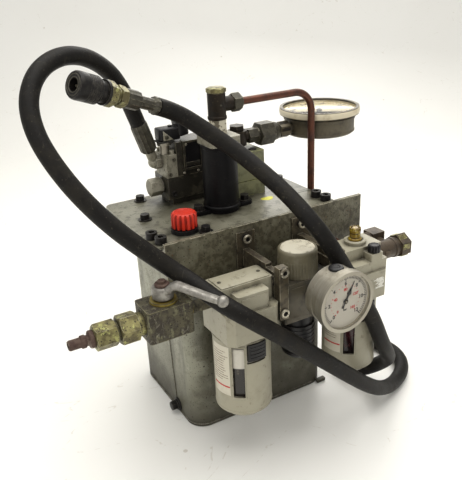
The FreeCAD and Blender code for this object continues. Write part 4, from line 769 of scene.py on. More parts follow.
def lathe(profile, cut=0.5, segments=64, ripple=None):
    """A turned profile with its corners eased."""
    return turned(eased(profile, cut), segments, ripple)


def nut(flats, low, high, bore=0.0, segments=72):
    """A hexagon between two heights, with the turned chamfers of a real nut."""
    def outline(angle):
        part = (angle + math.pi / 6) % (math.pi / 3) - math.pi / 6
        return flats / 2 / math.cos(part)

    land = flats / 2 * 0.94
    profile = [(bore, low), (land, low), (flats / 2, low + 0.3), (flats / 2, high - 0.3),
               (land, high), (bore, high)]
    verts, faces = turned(profile, segments)
    start = 1 if bore < 1e-6 else segments
    for ring, end, inward in ((1, low, 1), (2, high, -1)):
        first = start + ring * segments
        for i in range(segments):
            angle = 2 * math.pi * i / segments
            r = outline(angle)
            z = end + inward * (r - land) * 0.5
            verts[first + i] = (r * math.cos(angle), r * math.sin(angle), z)
    return verts, faces


def block(low, high, ease=0.6, steps=2):
    """Verts and faces of a box with rounded edges."""
    bm = bmesh.new()
    bmesh.ops.create_cube(bm, size=1)
    low, high = Vector(low), Vector(high)
    for v in bm.verts:
        v.co = Vector(low[k] + (v.co[k] + 0.5) * (high[k] - low[k]) for k in range(3))
    bmesh.ops.bevel(bm, geom=list(bm.edges), offset=ease, segments=steps, profile=0.5,
                    affect="EDGES")
    return taken(bm)


def taken(bm):
    bm.verts.ensure_lookup_table()
    bm.verts.index_update()
    verts = [tuple(v.co) for v in bm.verts]
    faces = [[v.index for v in f.verts] for f in bm.faces]
    bm.free()
    return verts, faces


def plate(outline, low, high, ease=0.0):
    """Verts and faces of an outline in X and Y, raised between two heights."""
    bm = bmesh.new()
    base = bm.faces.new([bm.verts.new((x, y, low)) for x, y in outline])
    raised = bmesh.ops.extrude_face_region(bm, geom=[base])
    for v in raised["geom"]:
        if isinstance(v, bmesh.types.BMVert):
            v.co.z = high
    if ease:
        bmesh.ops.bevel(bm, geom=list(bm.edges), offset=ease, segments=2, profile=0.5,
                        affect="EDGES")
    return taken(bm)


def joined(*shapes):
    """Several shapes, each (verts, faces) or (verts, faces, matrix), as one."""
    verts, faces = [], []
    for shape in shapes:
        move = shape[2] if len(shape) > 2 else Matrix.Identity(4)
        base = len(verts)
        verts += [tuple(move @ Vector(v)) for v in shape[0]]
        faces += [[i + base for i in face] for face in shape[1]]
    return verts, faces


def rod_along(points, radius, sides=20):
    """A round bar that follows points, with closed ends."""
    points = [Vector(p) for p in points]
    verts, faces = [], []
    normal = None
    for i, point in enumerate(points):
        way = (points[min(i + 1, len(points) - 1)] - points[max(i - 1, 0)]).normalized()
        side = normal if normal else (Vector((0, 0, 1)) if abs(way.z) < 0.9 else Vector((1, 0, 0)))
        side = (side - way * side.dot(way)).normalized()
        normal = side
        other = way.cross(side)
        r = radius(i / (len(points) - 1)) if callable(radius) else radius
        for k in range(sides):
            angle = 2 * math.pi * k / sides
            verts.append(tuple(point + (side * math.cos(angle) + other * math.sin(angle)) * r))
    for i in range(len(points) - 1):
        for k in range(sides):
            j = (k + 1) % sides
            faces.append([i * sides + k, i * sides + j, (i + 1) * sides + j, (i + 1) * sides + k])
    last = (len(points) - 1) * sides
    faces.append(list(range(sides))[::-1])
    faces.append([last + k for k in range(sides)])
    return verts, faces


def lettering(text, size):
    """Verts and faces of a short run of figures, centred, lying flat, with a little depth."""
    curve = bpy.data.curves.new("figures", "FONT")
    curve.body = text
    curve.size = size
    curve.align_x = "CENTER"
    curve.align_y = "CENTER"
    curve.extrude = 0.06
    curve.offset = 0.03 * size
    obj = bpy.data.objects.new("figures", curve)
    bpy.context.scene.collection.objects.link(obj)
    bpy.context.view_layer.update()
    mesh = bpy.data.meshes.new_from_object(obj.evaluated_get(
        bpy.context.evaluated_depsgraph_get()))
    verts = [tuple(v.co) for v in mesh.vertices]
    faces = [list(p.vertices) for p in mesh.polygons]
    bpy.data.objects.remove(obj)
    return verts, faces


# ---------------------------------------------------------------- stage
CAMERA_AT = (-0.3541, -0.6543, 0.5254)
CAMERA_RIGHT = (0.8645, -0.5006, -0.0448)
CAMERA_UP = (0.2351, 0.3239, 0.9164)
LENS = 47.76


class UNIT_OT_stage(bpy.types.Operator):
    """Builds the camera, the lights, the floor and the backdrop"""
    bl_idname = "power_unit.stage"
    bl_label = "Stage"

    def execute(self, context):
        settings = context.scene.power_unit.stage
        scene = context.scene
        camera = bpy.data.cameras.new("camera")
        camera.lens = LENS
        camera.sensor_width = 36
        camera.clip_start = 0.01
        eye = bpy.data.objects.new("camera", camera)
        right = Vector(CAMERA_RIGHT).normalized()
        up = Vector(CAMERA_UP)
        up = (up - right * up.dot(right)).normalized()
        turn = Matrix((right, up, right.cross(up))).transposed().to_4x4()
        eye.matrix_world = Matrix.Translation(Vector(CAMERA_AT)) @ turn
        scene.collection.objects.link(eye)
        scene.camera = eye

        scene.view_settings.view_transform = "Standard"
        world = scene.world or bpy.data.worlds.new("sky")
        scene.world = world
        world.use_nodes = True
        sky = world.node_tree.nodes["Background"]
        sky.inputs["Color"].default_value = (1.0, 0.985, 0.95, 1)
        sky.inputs["Strength"].default_value = settings.sky_strength

        lights = [
            ("overhead", (0.1, -0.1, 1.5), (0, -0.05, 0.2), 1.5, settings.key_power),
            ("beside", (-1.5, -0.9, 0.9), (0, -0.1, 0.2), 1.0, settings.fill_power),
            ("behind", (0.9, 1.1, 1.0), (0, 0, 0.2), 0.9, settings.fill_power * 1.4),
        ]
        for name, at, aim, size, power in lights:
            lamp = bpy.data.lights.new(name, "AREA")
            lamp.energy = power
            lamp.size = size
            lamp.color = (1.0, 0.98, 0.94)
            obj = bpy.data.objects.new(name, lamp)
            obj.location = at
            obj.rotation_mode = "QUATERNION"
            obj.rotation_quaternion = (Vector(at) - Vector(aim)).to_track_quat("Z", "Y")
            scene.collection.objects.link(obj)

        floor = finish("studio floor", tuple(settings.floor_colour), 0.32, 0.0, [
            patches(3, 0.3, 0.8, (0.90, 0.89, 0.85), 0.5, 0.4),
            specks(16, 0.05, 0.16, (0.55, 0.5, 0.42), 0.6, 0.6),
            scratches(3.2, 0.0016, (1.0, 1.0, 1.0), (0.62, 0.58, 0.5), 0.4, 0.5),
        ], soft=0)
        bend_start, bend_radius, steps = 1.2, 0.9, 12
        sweep = [(-3.0, 0.0), (bend_start, 0.0)]
        for i in range(1, steps + 1):
            angle = math.radians(90 * i / steps)
            sweep.append((bend_start + bend_radius * math.sin(angle),
                          bend_radius - bend_radius * math.cos(angle)))
        wall, top, half_width = bend_start + bend_radius, 3.0, 4.0
        sweep.append((wall, top))
        verts, faces = [], []
        for y, z in sweep:
            verts += [(-half_width, y, z), (half_width, y, z)]
        for i in range(len(sweep) - 1):
            faces.append((2 * i, 2 * i + 1, 2 * i + 3, 2 * i + 2))
        mesh = bpy.data.meshes.new("backdrop")
        mesh.from_pydata(verts, [], faces)
        mesh.polygons.foreach_set("use_smooth", [True] * len(faces))
        mesh.materials.append(floor)
        backdrop = bpy.data.objects.new("backdrop", mesh)
        backdrop.rotation_euler = (0, 0, math.radians(-29))
        scene.collection.objects.link(backdrop)
        return {"FINISHED"}


# ---------------------------------------------------------------- hose and its fittings
FITTING = Vector((-68, 46, 308))
FERRULE_WAY = Vector((-0.34, -0.14, 0.93)).normalized()
FERRULE_START = FITTING + FERRULE_WAY * 16
FERRULE_LENGTH = 40
COUPLER_START = Vector((-98, -48, 395))
COUPLER_WAY = Vector((-0.885, -0.29, 0.36)).normalized()
ROUTE = [
    FERRULE_START + FERRULE_WAY * FERRULE_LENGTH,
    FERRULE_START + FERRULE_WAY * (FERRULE_LENGTH + 21),
    (-104, 30, 402), (-121, 18, 426), (-148, 4, 445), (-178, -11, 451),
    (-206, -26, 442), (-223, -40, 421), (-227, -55, 396), (-221, -72, 369),
    (-204, -90, 334), (-178, -107, 298), (-150, -117, 269), (-128, -123, 247),
    (-111, -142, 232), (-98, -168, 219), (-77, -186, 203), (-41, -190, 172),
    (6, -190, 129), (49, -188, 89), (87, -181, 54), (123, -166, 26), (158, -151, 11),
    (187, -136, 10.5), (207, -112, 10.5), (211, -81, 11), (198, -52, 10.5),
    (170, -38, 11), (140, -48, 10.5), (126, -74, 11), (131, -101, 12),
    (145, -118, 22), (149, -138, 41), (140, -157, 62), (122, -170, 85),
    (104, -179, 111), (88, -182, 145), (70, -181, 179), (49, -176, 218),
    (31, -172, 251), (18, -155, 277), (9, -126, 299), (-3, -95, 319),
    (-20, -69, 340), (-45, -51, 362),
    COUPLER_START - COUPLER_WAY * 28, COUPLER_START,
]


def faceted(count, depth):
    """A ripple that presses flats round a ferrule."""
    def ripple(angle, radius, height):
        part = (angle % (2 * math.pi / count)) - math.pi / count
        flat = radius * math.cos(math.pi / count) / math.cos(part)
        return radius + (flat - radius) * depth
    return ripple


class UNIT_OT_hose(bpy.types.Operator):
    """Lays the hose and makes its ferrules, its quick coupler and the sleeve"""
    bl_idname = "power_unit.hose"
    bl_label = "Hose"

    def execute(self, context):
        settings = context.scene.power_unit.hose
        hose = self.line(context, settings)
        ripple = faceted(settings.crimp_faces, 1.6)
        ferrule = self.ferrule(ripple)
        carried = [bpy.data.objects["coupler_body"], *self.coupler(ripple), ferrule]
        return {"FINISHED"}

    def line(self, context, settings):
        curve = bpy.data.curves.new("hose_line", "CURVE")
        curve.dimensions = "3D"
        spline = curve.splines.new("NURBS")
        spline.points.add(len(ROUTE) - 1)
        for point, co in zip(spline.points, ROUTE):
            point.co = (*(Vector(co) * MM), 1)
        spline.order_u = 3
        spline.use_endpoint_u = True
        spline.resolution_u = 10
        curve.bevel_depth = settings.diameter / 2
        curve.bevel_resolution = 9
        curve.use_fill_caps = True
        curve.materials.append(FINISHES["rubber"])
        hose = bpy.data.objects.new("hose_line", curve)
        context.scene.collection.objects.link(hose)
        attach(hose, ROOT)
        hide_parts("hose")
        return hose

    def ferrule(self, ripple):
        start = stood(FERRULE_START, FERRULE_WAY)
        ferrule = piece("valve_ferrule", *lathe([
            (0, 0), (6.6, 0), (8.2, 1.5), (9.9, 3), (10.3, 6), (10.3, 35), (9.9, 38.5),
            (9.3, 39.9), (0, 39.9)], 0.8, 96, ripple), "grey steel", matrix=start,
                        slot="black_steel")
        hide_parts("hose_ferrule")
        return ferrule

    def coupler(self, ripple):
        along = stood(COUPLER_START, COUPLER_WAY)
        barrel = lathe([(0, 0), (8.6, 0.1), (9.5, 1.2), (9.5, 5), (6.9, 6.5), (6.4, 8),
                        (6.4, 24.5), (8.6, 26), (9.9, 27), (9.9, 42), (8.4, 44), (0, 44)], 0.7, 96,
                       ripple)
        tail = piece("coupler_tail_detail", *barrel, "grey steel", matrix=along,
                     slot="black_steel")
        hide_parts("coupler_tail")
        hexes = piece("coupler_hexagons", *joined(
            nut(19, 44, 53), turned([(0, 52.8), (8, 52.8), (8, 58.2), (0, 58.2)]),
            nut(22, 58, 67)), "zinc", matrix=along)

        grip = [(10.5, 78), (12.7, 78), (13.5, 79)]
        for i in range(5):
            z = 81 + i * 2.4
            grip += [(13.5, z), (13.0, z + 0.5), (13.0, z + 1.3), (13.5, z + 1.8)]
        grip += [(13.55, 99), (13.2, 101.5), (12.2, 103), (10.5, 103), (10.5, 78)]
        sleeve = piece("coupler_sleeve_detail", *turned(grip, 80), "black steel", "sleeve_body",
                       matrix=along)
        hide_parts("coupler_sleeve")

        mouth = joined(lathe([(9.2, 102.7), (9.5, 103.4), (10.1, 103.4), (10.4, 102.7)], 0.2, 72),
                       lathe([(6.5, 102.7), (6.8, 103.3), (7.4, 103.3), (7.7, 102.7)], 0.2, 72))
        rims = piece("coupler_mouth_rims", *mouth, "grey steel", matrix=along, slot="black_steel")
        balls = []
        for i in range(6):
            angle = 2 * math.pi * i / 6
            ball = turned([(1.4 * math.sin(math.pi * k / 8), -1.4 * math.cos(math.pi * k / 8))
                           for k in range(9)], 12)
            balls.append((*ball, Matrix.Translation((6.0 * math.cos(angle),
                                                     6.0 * math.sin(angle), 95))))
        seal = turned([(5.2, 86), (6.2, 85.4), (6.4, 86.4), (5.8, 87.2), (5.2, 86)], 48)
        valve = lathe([(0, 92.0), (2.2, 91.4), (3.4, 90), (3.6, 84), (0, 84)], 0.5, 40)
        ring = piece("coupler_inner", *joined(*balls, seal, valve), "bright steel", matrix=along)
        return tail, hexes, sleeve, ring, rims


# ---------------------------------------------------------------- finishes of the frame's nodes
class UNIT_OT_finishes(bpy.types.Operator):
    """Makes the finishes and puts them on the nodes of the frame"""
    bl_idname = "power_unit.finishes"
    bl_label = "Finishes"

    def execute(self, context):
        make_effects()
        FINISHES.update(make_finishes(context.scene.power_unit.paint))
        for finish_name, nodes in FINISH_OF_NODE.items():
            for node in nodes:
                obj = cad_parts[node]
                obj.data.materials.clear()
                obj.data.materials.append(FINISHES[finish_name])
        for node in ("hose", "hose_ferrule", "coupler_tail", "coupler_sleeve", "filler_cap",
                     "feed_knob", "inlet_union"):
            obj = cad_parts[node]
            obj.data.materials.clear()
            obj.data.materials.append(FINISHES["black steel"])
        return {"FINISHED"}


class UNIT_OT_tank(bpy.types.Operator):
    """Adds the weld seams, the joint in the lid, the drain bolt and the paint mark"""
    bl_idname = "power_unit.tank"
    bl_label = "Tank details"

    def execute(self, context):
        rng = random.Random(4)
        weld = []
        for i in range(34):
            t = i / 33
            weld.append((-98.1, -22 - 6 * t + rng.uniform(-0.5, 0.5), 104 - 86 * t))
        bead = rod_along(weld, lambda t: 1.0 + 0.25 * math.sin(t * 120), 10)
        piece("side_weld", *bead, "tank")
        lip = rod_along([(-97.6, -58, 249.0), (-97.6, 58, 249.0)], 0.9, 10)
        piece("rim_weld", *lip, "tank")
        edge = node_box("lid_plate")[1].x
        groove = block((88, -26.5, LID_TOP - 0.3), (edge - 0.2, -25.4, LID_TOP + 0.08), 0.05, 1)
        piece("lid_joint", *groove, "seal", slot="lid_paint")
        foot = []
        for i in range(9):
            angle = math.radians(180 + 90 * i / 8)
            foot.append((-76 + 22.3 * math.cos(angle), -58 + 22.3 * math.sin(angle), 4.2))
        around = [(-98.3, 58, 4.2), *foot, (76, -80.3, 4.2)]
        piece("foot_weld", *rod_along(around, 0.8, 8), "tank")
        dot = []
        for i in range(28):
            angle = 2 * math.pi * i / 28
            r = 7.0 + 0.9 * math.sin(3 * angle) + rng.uniform(-0.5, 0.5)
            dot.append((52 + 1.2 * r * math.cos(angle), -20 + 0.8 * r * math.sin(angle)))
        piece("paint_mark", *plate(dot, LID_TOP - 0.1, LID_TOP + 0.12), "yellow paint")
        way = stood((-98, -32, 10.8), (-1, 0, 0), 15)
        piece("drain_bolt", *joined(lathe([(0, -1.0), (9.0, -1.0), (9.0, 1.2), (8.4, 1.9),
                                           (0, 1.9)], 0.4, 56), lathe([
            (0, 1.8), (7.0, 1.8), (7.0, 3.6), (0, 3.6)], 0.4, 48), nut(11, 3.4, 10.5)),
              "black steel", matrix=way)
        piece("foot_tab", *block((84, -84.5, 0.3), (97, -79.0, 5.0), 0.6), "tank")
        return {"FINISHED"}


class UNIT_OT_filler(bpy.types.Operator):
    """Makes the ribbed filler cap"""
    bl_idname = "power_unit.filler"
    bl_label = "Filler cap"

    def execute(self, context):
        ribs = context.scene.power_unit.grips.cap_ribs
        low, high = node_box("filler_cap")
        centre = (low + high) / 2
        base, top = low.z, high.z

        def ripple(angle, radius, height):
            if radius < 12.5 or height > top - 1.2:
                return radius
            wave = math.cos(angle * ribs) + 0.45
            return radius - 1.7 * (0.5 - 0.5 * max(-1.0, min(1.0, wave * 2.0)))

        profile = [(10.4, base), (13.6, base), (14.5, base + 1.0), (14.55, base + 8),
                   (14.3, top - 3.2), (13.7, top - 1.6), (12.4, top - 0.6), (10.4, top - 0.1),
                   (9.6, top - 0.9), (4.0, top - 1.2), (0, top - 1.3)]
        verts, faces = turned(profile, 176, ripple)
        inner = turned([(10.4, base), (10.4, top - 4), (0, top - 4)], 64)
        cap = piece("ribbed_cap", *joined((verts, faces), inner), "red plastic", "filler_cap_body",
                    matrix=Matrix.Translation((centre.x, centre.y, 0)))
        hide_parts("filler_cap")
        return {"FINISHED"}


# ---------------------------------------------------------------- pump column and pressure side
class UNIT_OT_nuts(bpy.types.Operator):
    """Makes the chamfered nuts of the pump, the gauge line and the air inlet"""
    bl_idname = "power_unit.nuts"
    bl_label = "Nuts"

    def execute(self, context):
        x_way = (1, 0, 0)
        at = stood((0, BANJO_Y, LINE_Z), x_way, 30)
        union = piece("gauge_union_nuts", *joined(
            nut(17, 51, 65.6), lathe([(0, 65), (9.2, 65), (9.2, 67), (0, 67)]), nut(27, 66.4, 88),
            lathe([(0, 87.5), (12.4, 87.5), (11.6, 94), (10, 97.9), (0, 97.9)], 1.0)),
                      "grey steel", matrix=at)
        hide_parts("gauge_union")

        z = node_box("return_pipe")[1].z - 4.5
        side = (*nut(19, 8, 19, 4.8), stood((0, PUMP[1], z), x_way, 0))
        collar = (*lathe([(4.8, 18.6), (7.6, 18.6), (7.0, 21.5), (4.8, 21.9), (4.8, 18.6)], 0.6),
                  stood((0, PUMP[1], z), x_way))
        cap = piece("tee_cap_nut", *nut(20, 393, 399), "zinc",
                    matrix=Matrix.Translation((PUMP[0], PUMP[1], 0)))
        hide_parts("tee_nuts")
        piece("tee_side_nut", *joined(side, collar), "grey steel")

        inlet = stood((0, AIR_Y, AIR_Z), x_way, 18)
        union = piece("inlet_union_nut", *joined(
            nut(27, -195.6, -176, 5), lathe([(5, -176.4), (12.2, -176.4), (12.2, -170.1),
                                             (5, -170.1)], 0.8)), "zinc", matrix=inlet)
        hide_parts("inlet_union")
        hexagon = (*nut(24, -220, -198, 3.2), stood((0, AIR_Y, AIR_Z), x_way, 44))
        neck = (*turned([(3.2, -199), (9.6, -199), (9.6, -196.2), (3.2, -196.2)]), inlet)
        nose = lathe([(3.2, -245), (4.4, -245), (5.2, -243.6), (5.2, -233.2), (6.5, -232.4),
                      (6.5, -228.4), (5.4, -227.6), (5.4, -225.6), (8.2, -224.8), (9.0, -223.6),
                      (9.0, -220.6), (8, -219.6), (3.2, -219.6)], 0.4, 56)
        zinc = piece("inlet_hexagon", *joined(hexagon, neck), "zinc")
        piece("inlet_nose", *nose, "rust", matrix=inlet)
        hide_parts("inlet_plug")
        return {"FINISHED"}


class UNIT_OT_pump(bpy.types.Operator):
    """Adds the rings, dimples and seals of the pump column and the block seam"""
    bl_idname = "power_unit.pump"
    bl_label = "Pump details"

    def execute(self, context):
        at = Matrix.Translation((PUMP[0], PUMP[1], 0))
        rings = joined(lathe([(20.9, 331), (21.9, 331.6), (21.9, 333.6), (20.9, 334.2)], 0.3, 96),
                       lathe([(20.9, 258.2), (22.4, 258.2), (22.4, 261.5), (20.9, 262.6)], 0.4,
                             96))
        piece("barrel_rings", *rings, "barrel", matrix=at)
        piece("tee_collar", *lathe([(10.2, 363.1), (11.2, 363.6), (11.2, 366.5), (10.2, 367.2)],
                                   0.3, 72), "dark bronze", matrix=at)
        dimple = turned([(0, 0), (1.0, 0), (1.3, -0.2), (1.6, -0.5)], 24)
        piece("tee_dimple", *dimple, "grey steel", matrix=stood(
            (PUMP[0], PUMP[1] - 10.6, 380), (0, -1, 0)), slot="black_steel")
        low, high = node_box("pressure_block")
        seam = LID_TOP + 19.5
        line = block((low.x + 0.9, low.y - 0.15, seam - 0.3), (high.x - 0.9, low.y + 0.6, seam),
                     0.05, 1)
        piece("block_seam", *line, "seal", slot="olive_alloy")
        plug = lathe([(0, 0), (5.2, 0), (5.2, 1.1), (4.6, 1.5), (2.6, 1.5), (2.6, 0.4), (0, 0.4)],
                     0.2, 48)
        plugs = joined((*plug, stood((low.x + 36, low.y, LID_TOP + 40), (0, -1, 0))),
                       (*plug, stood((high.x - 12, low.y + 10, high.z))))
        piece("block_plugs", *plugs, "black steel")
        eye = stood((37, BANJO_Y, 334.0), (0, 0, 1))
        piece("banjo_washer", *lathe([(10.6, -0.2), (12.4, -0.2), (12.4, 0.7), (10.2, 0.7)], 0.2,
                                     60), "dark bronze", matrix=eye)
        return {"FINISHED"}


# ---------------------------------------------------------------- gauges
# Outer radius of the air gauge's bezel.
AIR_RIM = 33.5


def dial_marks(numbers, radius, sweep, small, sizes):
    """Marks and figures of a dial, lying in X and Y, clockwise from the lower left."""
    long_mark, short_mark, figure, figure_radius = sizes
    marks, figures = [], []
    steps = (len(numbers) - 1) * small
    for i in range(steps + 1):
        angle = math.radians(90) + sweep / 2 - sweep * i / steps
        whole = i % small == 0
        length = long_mark if whole else short_mark
        width = 1.15 if whole else 0.75
        bar = block((radius - length, -width / 2, 0), (radius, width / 2, 0.12), 0.02, 1)
        marks.append((*bar, Matrix.Rotation(angle, 4, "Z")))
        if whole:
            at = Vector((figure_radius * math.cos(angle), figure_radius * math.sin(angle), 0.06))
            figures.append((*lettering(numbers[i // small], figure), Matrix.Translation(at)))
    return joined(*marks), joined(*figures)


def arc_strip(radius, width, start, end, height=0.1):
    """A thin raised arc on a dial."""
    profile = [(radius, 0), (radius, height), (radius + width, height), (radius + width, 0),
               (radius, 0)]
    return turned(profile, 80, start=math.degrees(start), sweep=math.degrees(end - start))


def pointer_shape(length, tail, hub):
    """A tapered pointer on its hub, along +X."""
    needle = plate([(-tail, -1.4), (-tail * 0.4, -0.7), (hub, -0.9), (length * 0.3, -1.2),
                    (length * 0.38, -2.7), (length * 0.66, -0.7), (length, -0.15), (length, 0.15),
                    (length * 0.66, 0.7), (length * 0.38, 2.7), (length * 0.3, 1.2), (hub, 0.9),
                    (-tail * 0.4, 0.7), (-tail, 1.4)], 0.1, 0.7, 0.08)
    cap = lathe([(1.2, 0), (hub, 0), (hub, 1.1), (hub - 0.6, 1.5), (0, 1.6)], 0.3, 36)
    return joined(needle, cap)


class UNIT_OT_gauges(bpy.types.Operator):
    """Fits the dials, glasses, bezels and pointers of both gauges"""
    bl_idname = "power_unit.gauges"
    bl_label = "Gauges"

    def execute(self, context):
        settings = context.scene.power_unit.dials
        self.air(settings)
        self.pressure(settings)
        return {"FINISHED"}

    def air(self, settings):
        low, high = node_box("air_gauge")
        centre = (low + high) / 2
        centre.z = high.z - AIR_RIM
        front = low.y
        face = front + 4.5
        toward = (0, -1, 0)
        at = stood((centre.x, face, centre.z), toward)
        piece("air_dial", *turned([(1.3, 0.02), (29.3, 0.02), (29.3, -0.2)], 96), "dial face",
              matrix=at)
        marks, figures = dial_marks(["0", "2", "4", "6", "8", "10", "12"], 27.2, settings.sweep,
                                    settings.small_marks * 2, (3.8, 2.4, 5.6, 20.2))
        inner, red = dial_marks(["0", "40", "80", "120", "160"], 18.2, settings.sweep, 5,
                                (1.4, 0.8, 4.4, 13.4))
        lift = Matrix.Translation((0, 0, 0.03))
        piece("air_marks", *joined((*marks, lift), (*figures, lift),
                                   (*arc_strip(27.5, 0.3, math.radians(-45), math.radians(225)),
                                    lift), (*lettering("bar", 3.6), Matrix.Translation((
            0, -9.5, 0.06)))), "dial ink", matrix=at, slot="stainless", smooth=0)
        piece("air_inner_marks", *joined((*inner, lift), (*red, lift)), "red ink", matrix=at,
              smooth=0)
        bezel = lathe([(29.4, -0.1), (29.4, 2.0), (29.9, 3.8), (30.8, 4.44), (31.5, 3.9),
                       (31.8, 1.6), (32.2, 1.6), (32.5, 3.4), (33.0, 3.3), (33.4, 2.2),
                       (AIR_RIM, -4.8), (33.1, -5.6), (31.1, -5.6)], 0.35, 128)
        piece("air_bezel", *bezel, "polished steel", matrix=at)
        piece("air_glass", *turned([(0, 2.9), (28.4, 2.7), (29.5, 2.5), (29.5, 2.0), (0, 2.0)],
                                   96), "glass", matrix=at)
        plug = lathe([(0, -1.4), (8.0, -1.4), (8.0, 0.9), (7.4, 1.7), (4.0, 2.0), (3.8, 1.6),
                      (0, 1.6)], 0.3, 48)
        piece("gauge_vent_plug", *plug, "black plastic",
              matrix=stood((centre.x, front + 20.0, centre.z + 30.9), (0, 0, 1)))
        seam = lathe([(30.8, -17.0), (31.4, -17.0), (31.4, -15.6), (30.8, -15.6)], 0.2, 96)
        piece("gauge_case_band", *seam, "stainless", matrix=at)
        needle = pointer_shape(23, 8, 2.8)
        tilt = Matrix.Rotation(math.radians(62), 4, "Z")
        hand = piece("air_needle_detail", *needle, "dial ink", "air_needle",
                     matrix=stood((centre.x, face - 0.3, centre.z), toward) @ tilt)
        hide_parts("air_pointer")
        piece("air_needle_boss", *lathe([(0, 0.9), (1.8, 0.9), (1.8, 2.1), (0, 2.3)], 0.2, 32),
              "brass", "air_needle", matrix=stood((centre.x, face, centre.z), toward),
              slot="pointer_black")

    def pressure(self, settings):
        top = node_box("pressure_gauge")[1].z
        at = Matrix.Translation((165, BANJO_Y, top - 6))
        piece("oil_dial", *turned([(1.3, 0.02), (48.4, 0.02), (48.4, -0.2)], 96), "old dial face",
              matrix=at)
        marks, figures = dial_marks(["0", "100", "200", "300", "400", "500", "600"], 44,
                                    settings.sweep, settings.small_marks * 2,
                                    (5.0, 2.6, 5.6, 34))
        lift = Matrix.Translation((0, 0, 0.03))
        piece("oil_marks", *joined((*marks, lift), (*figures, lift)), "dial ink", matrix=at,
              slot="olive_alloy", smooth=0)
        rim = lathe([(48.4, -0.1), (48.4, 3.4), (49.4, 5.3), (50.8, 5.95), (52.2, 5.6),
                     (53.0, 4.4), (53.2, 2.0), (53.0, -1.4), (52.0, -3.0), (49.6, -3.4),
                     (46.6, -3.4)], 0.8, 128)
        piece("oil_rim", *rim, "cream rim", matrix=at)
        piece("oil_glass", *turned([(0, 3.4), (47.6, 3.1), (48.5, 2.8), (48.5, 2.2), (0, 2.2)],
                                   96), "glass", matrix=at, slot="olive_alloy")
        rings = lathe([(46.0, -26), (47.0, -26), (47.0, -24), (46.0, -23.4)], 0.3, 96)
        lower = lathe([(46.2, -9), (47.6, -9), (47.6, -5.6), (46.2, -5.0)], 0.4, 96)
        piece("oil_case_rings", *joined(rings, lower), "dark dial case", matrix=at)
        tilt = Matrix.Rotation(math.radians(225), 4, "Z")
        hand = piece("oil_needle_detail", *pointer_shape(38, 12, 3.6), "dial ink",
                     "pressure_needle", matrix=at @ Matrix.Translation((0, 0, 0.3)) @ tilt)
        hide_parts("pressure_pointer")
        piece("oil_stem_nut", *nut(19, 98.4, 112.6), "dark bronze",
              matrix=stood((0, BANJO_Y, LINE_Z), (1, 0, 0), 10), slot="olive_alloy")


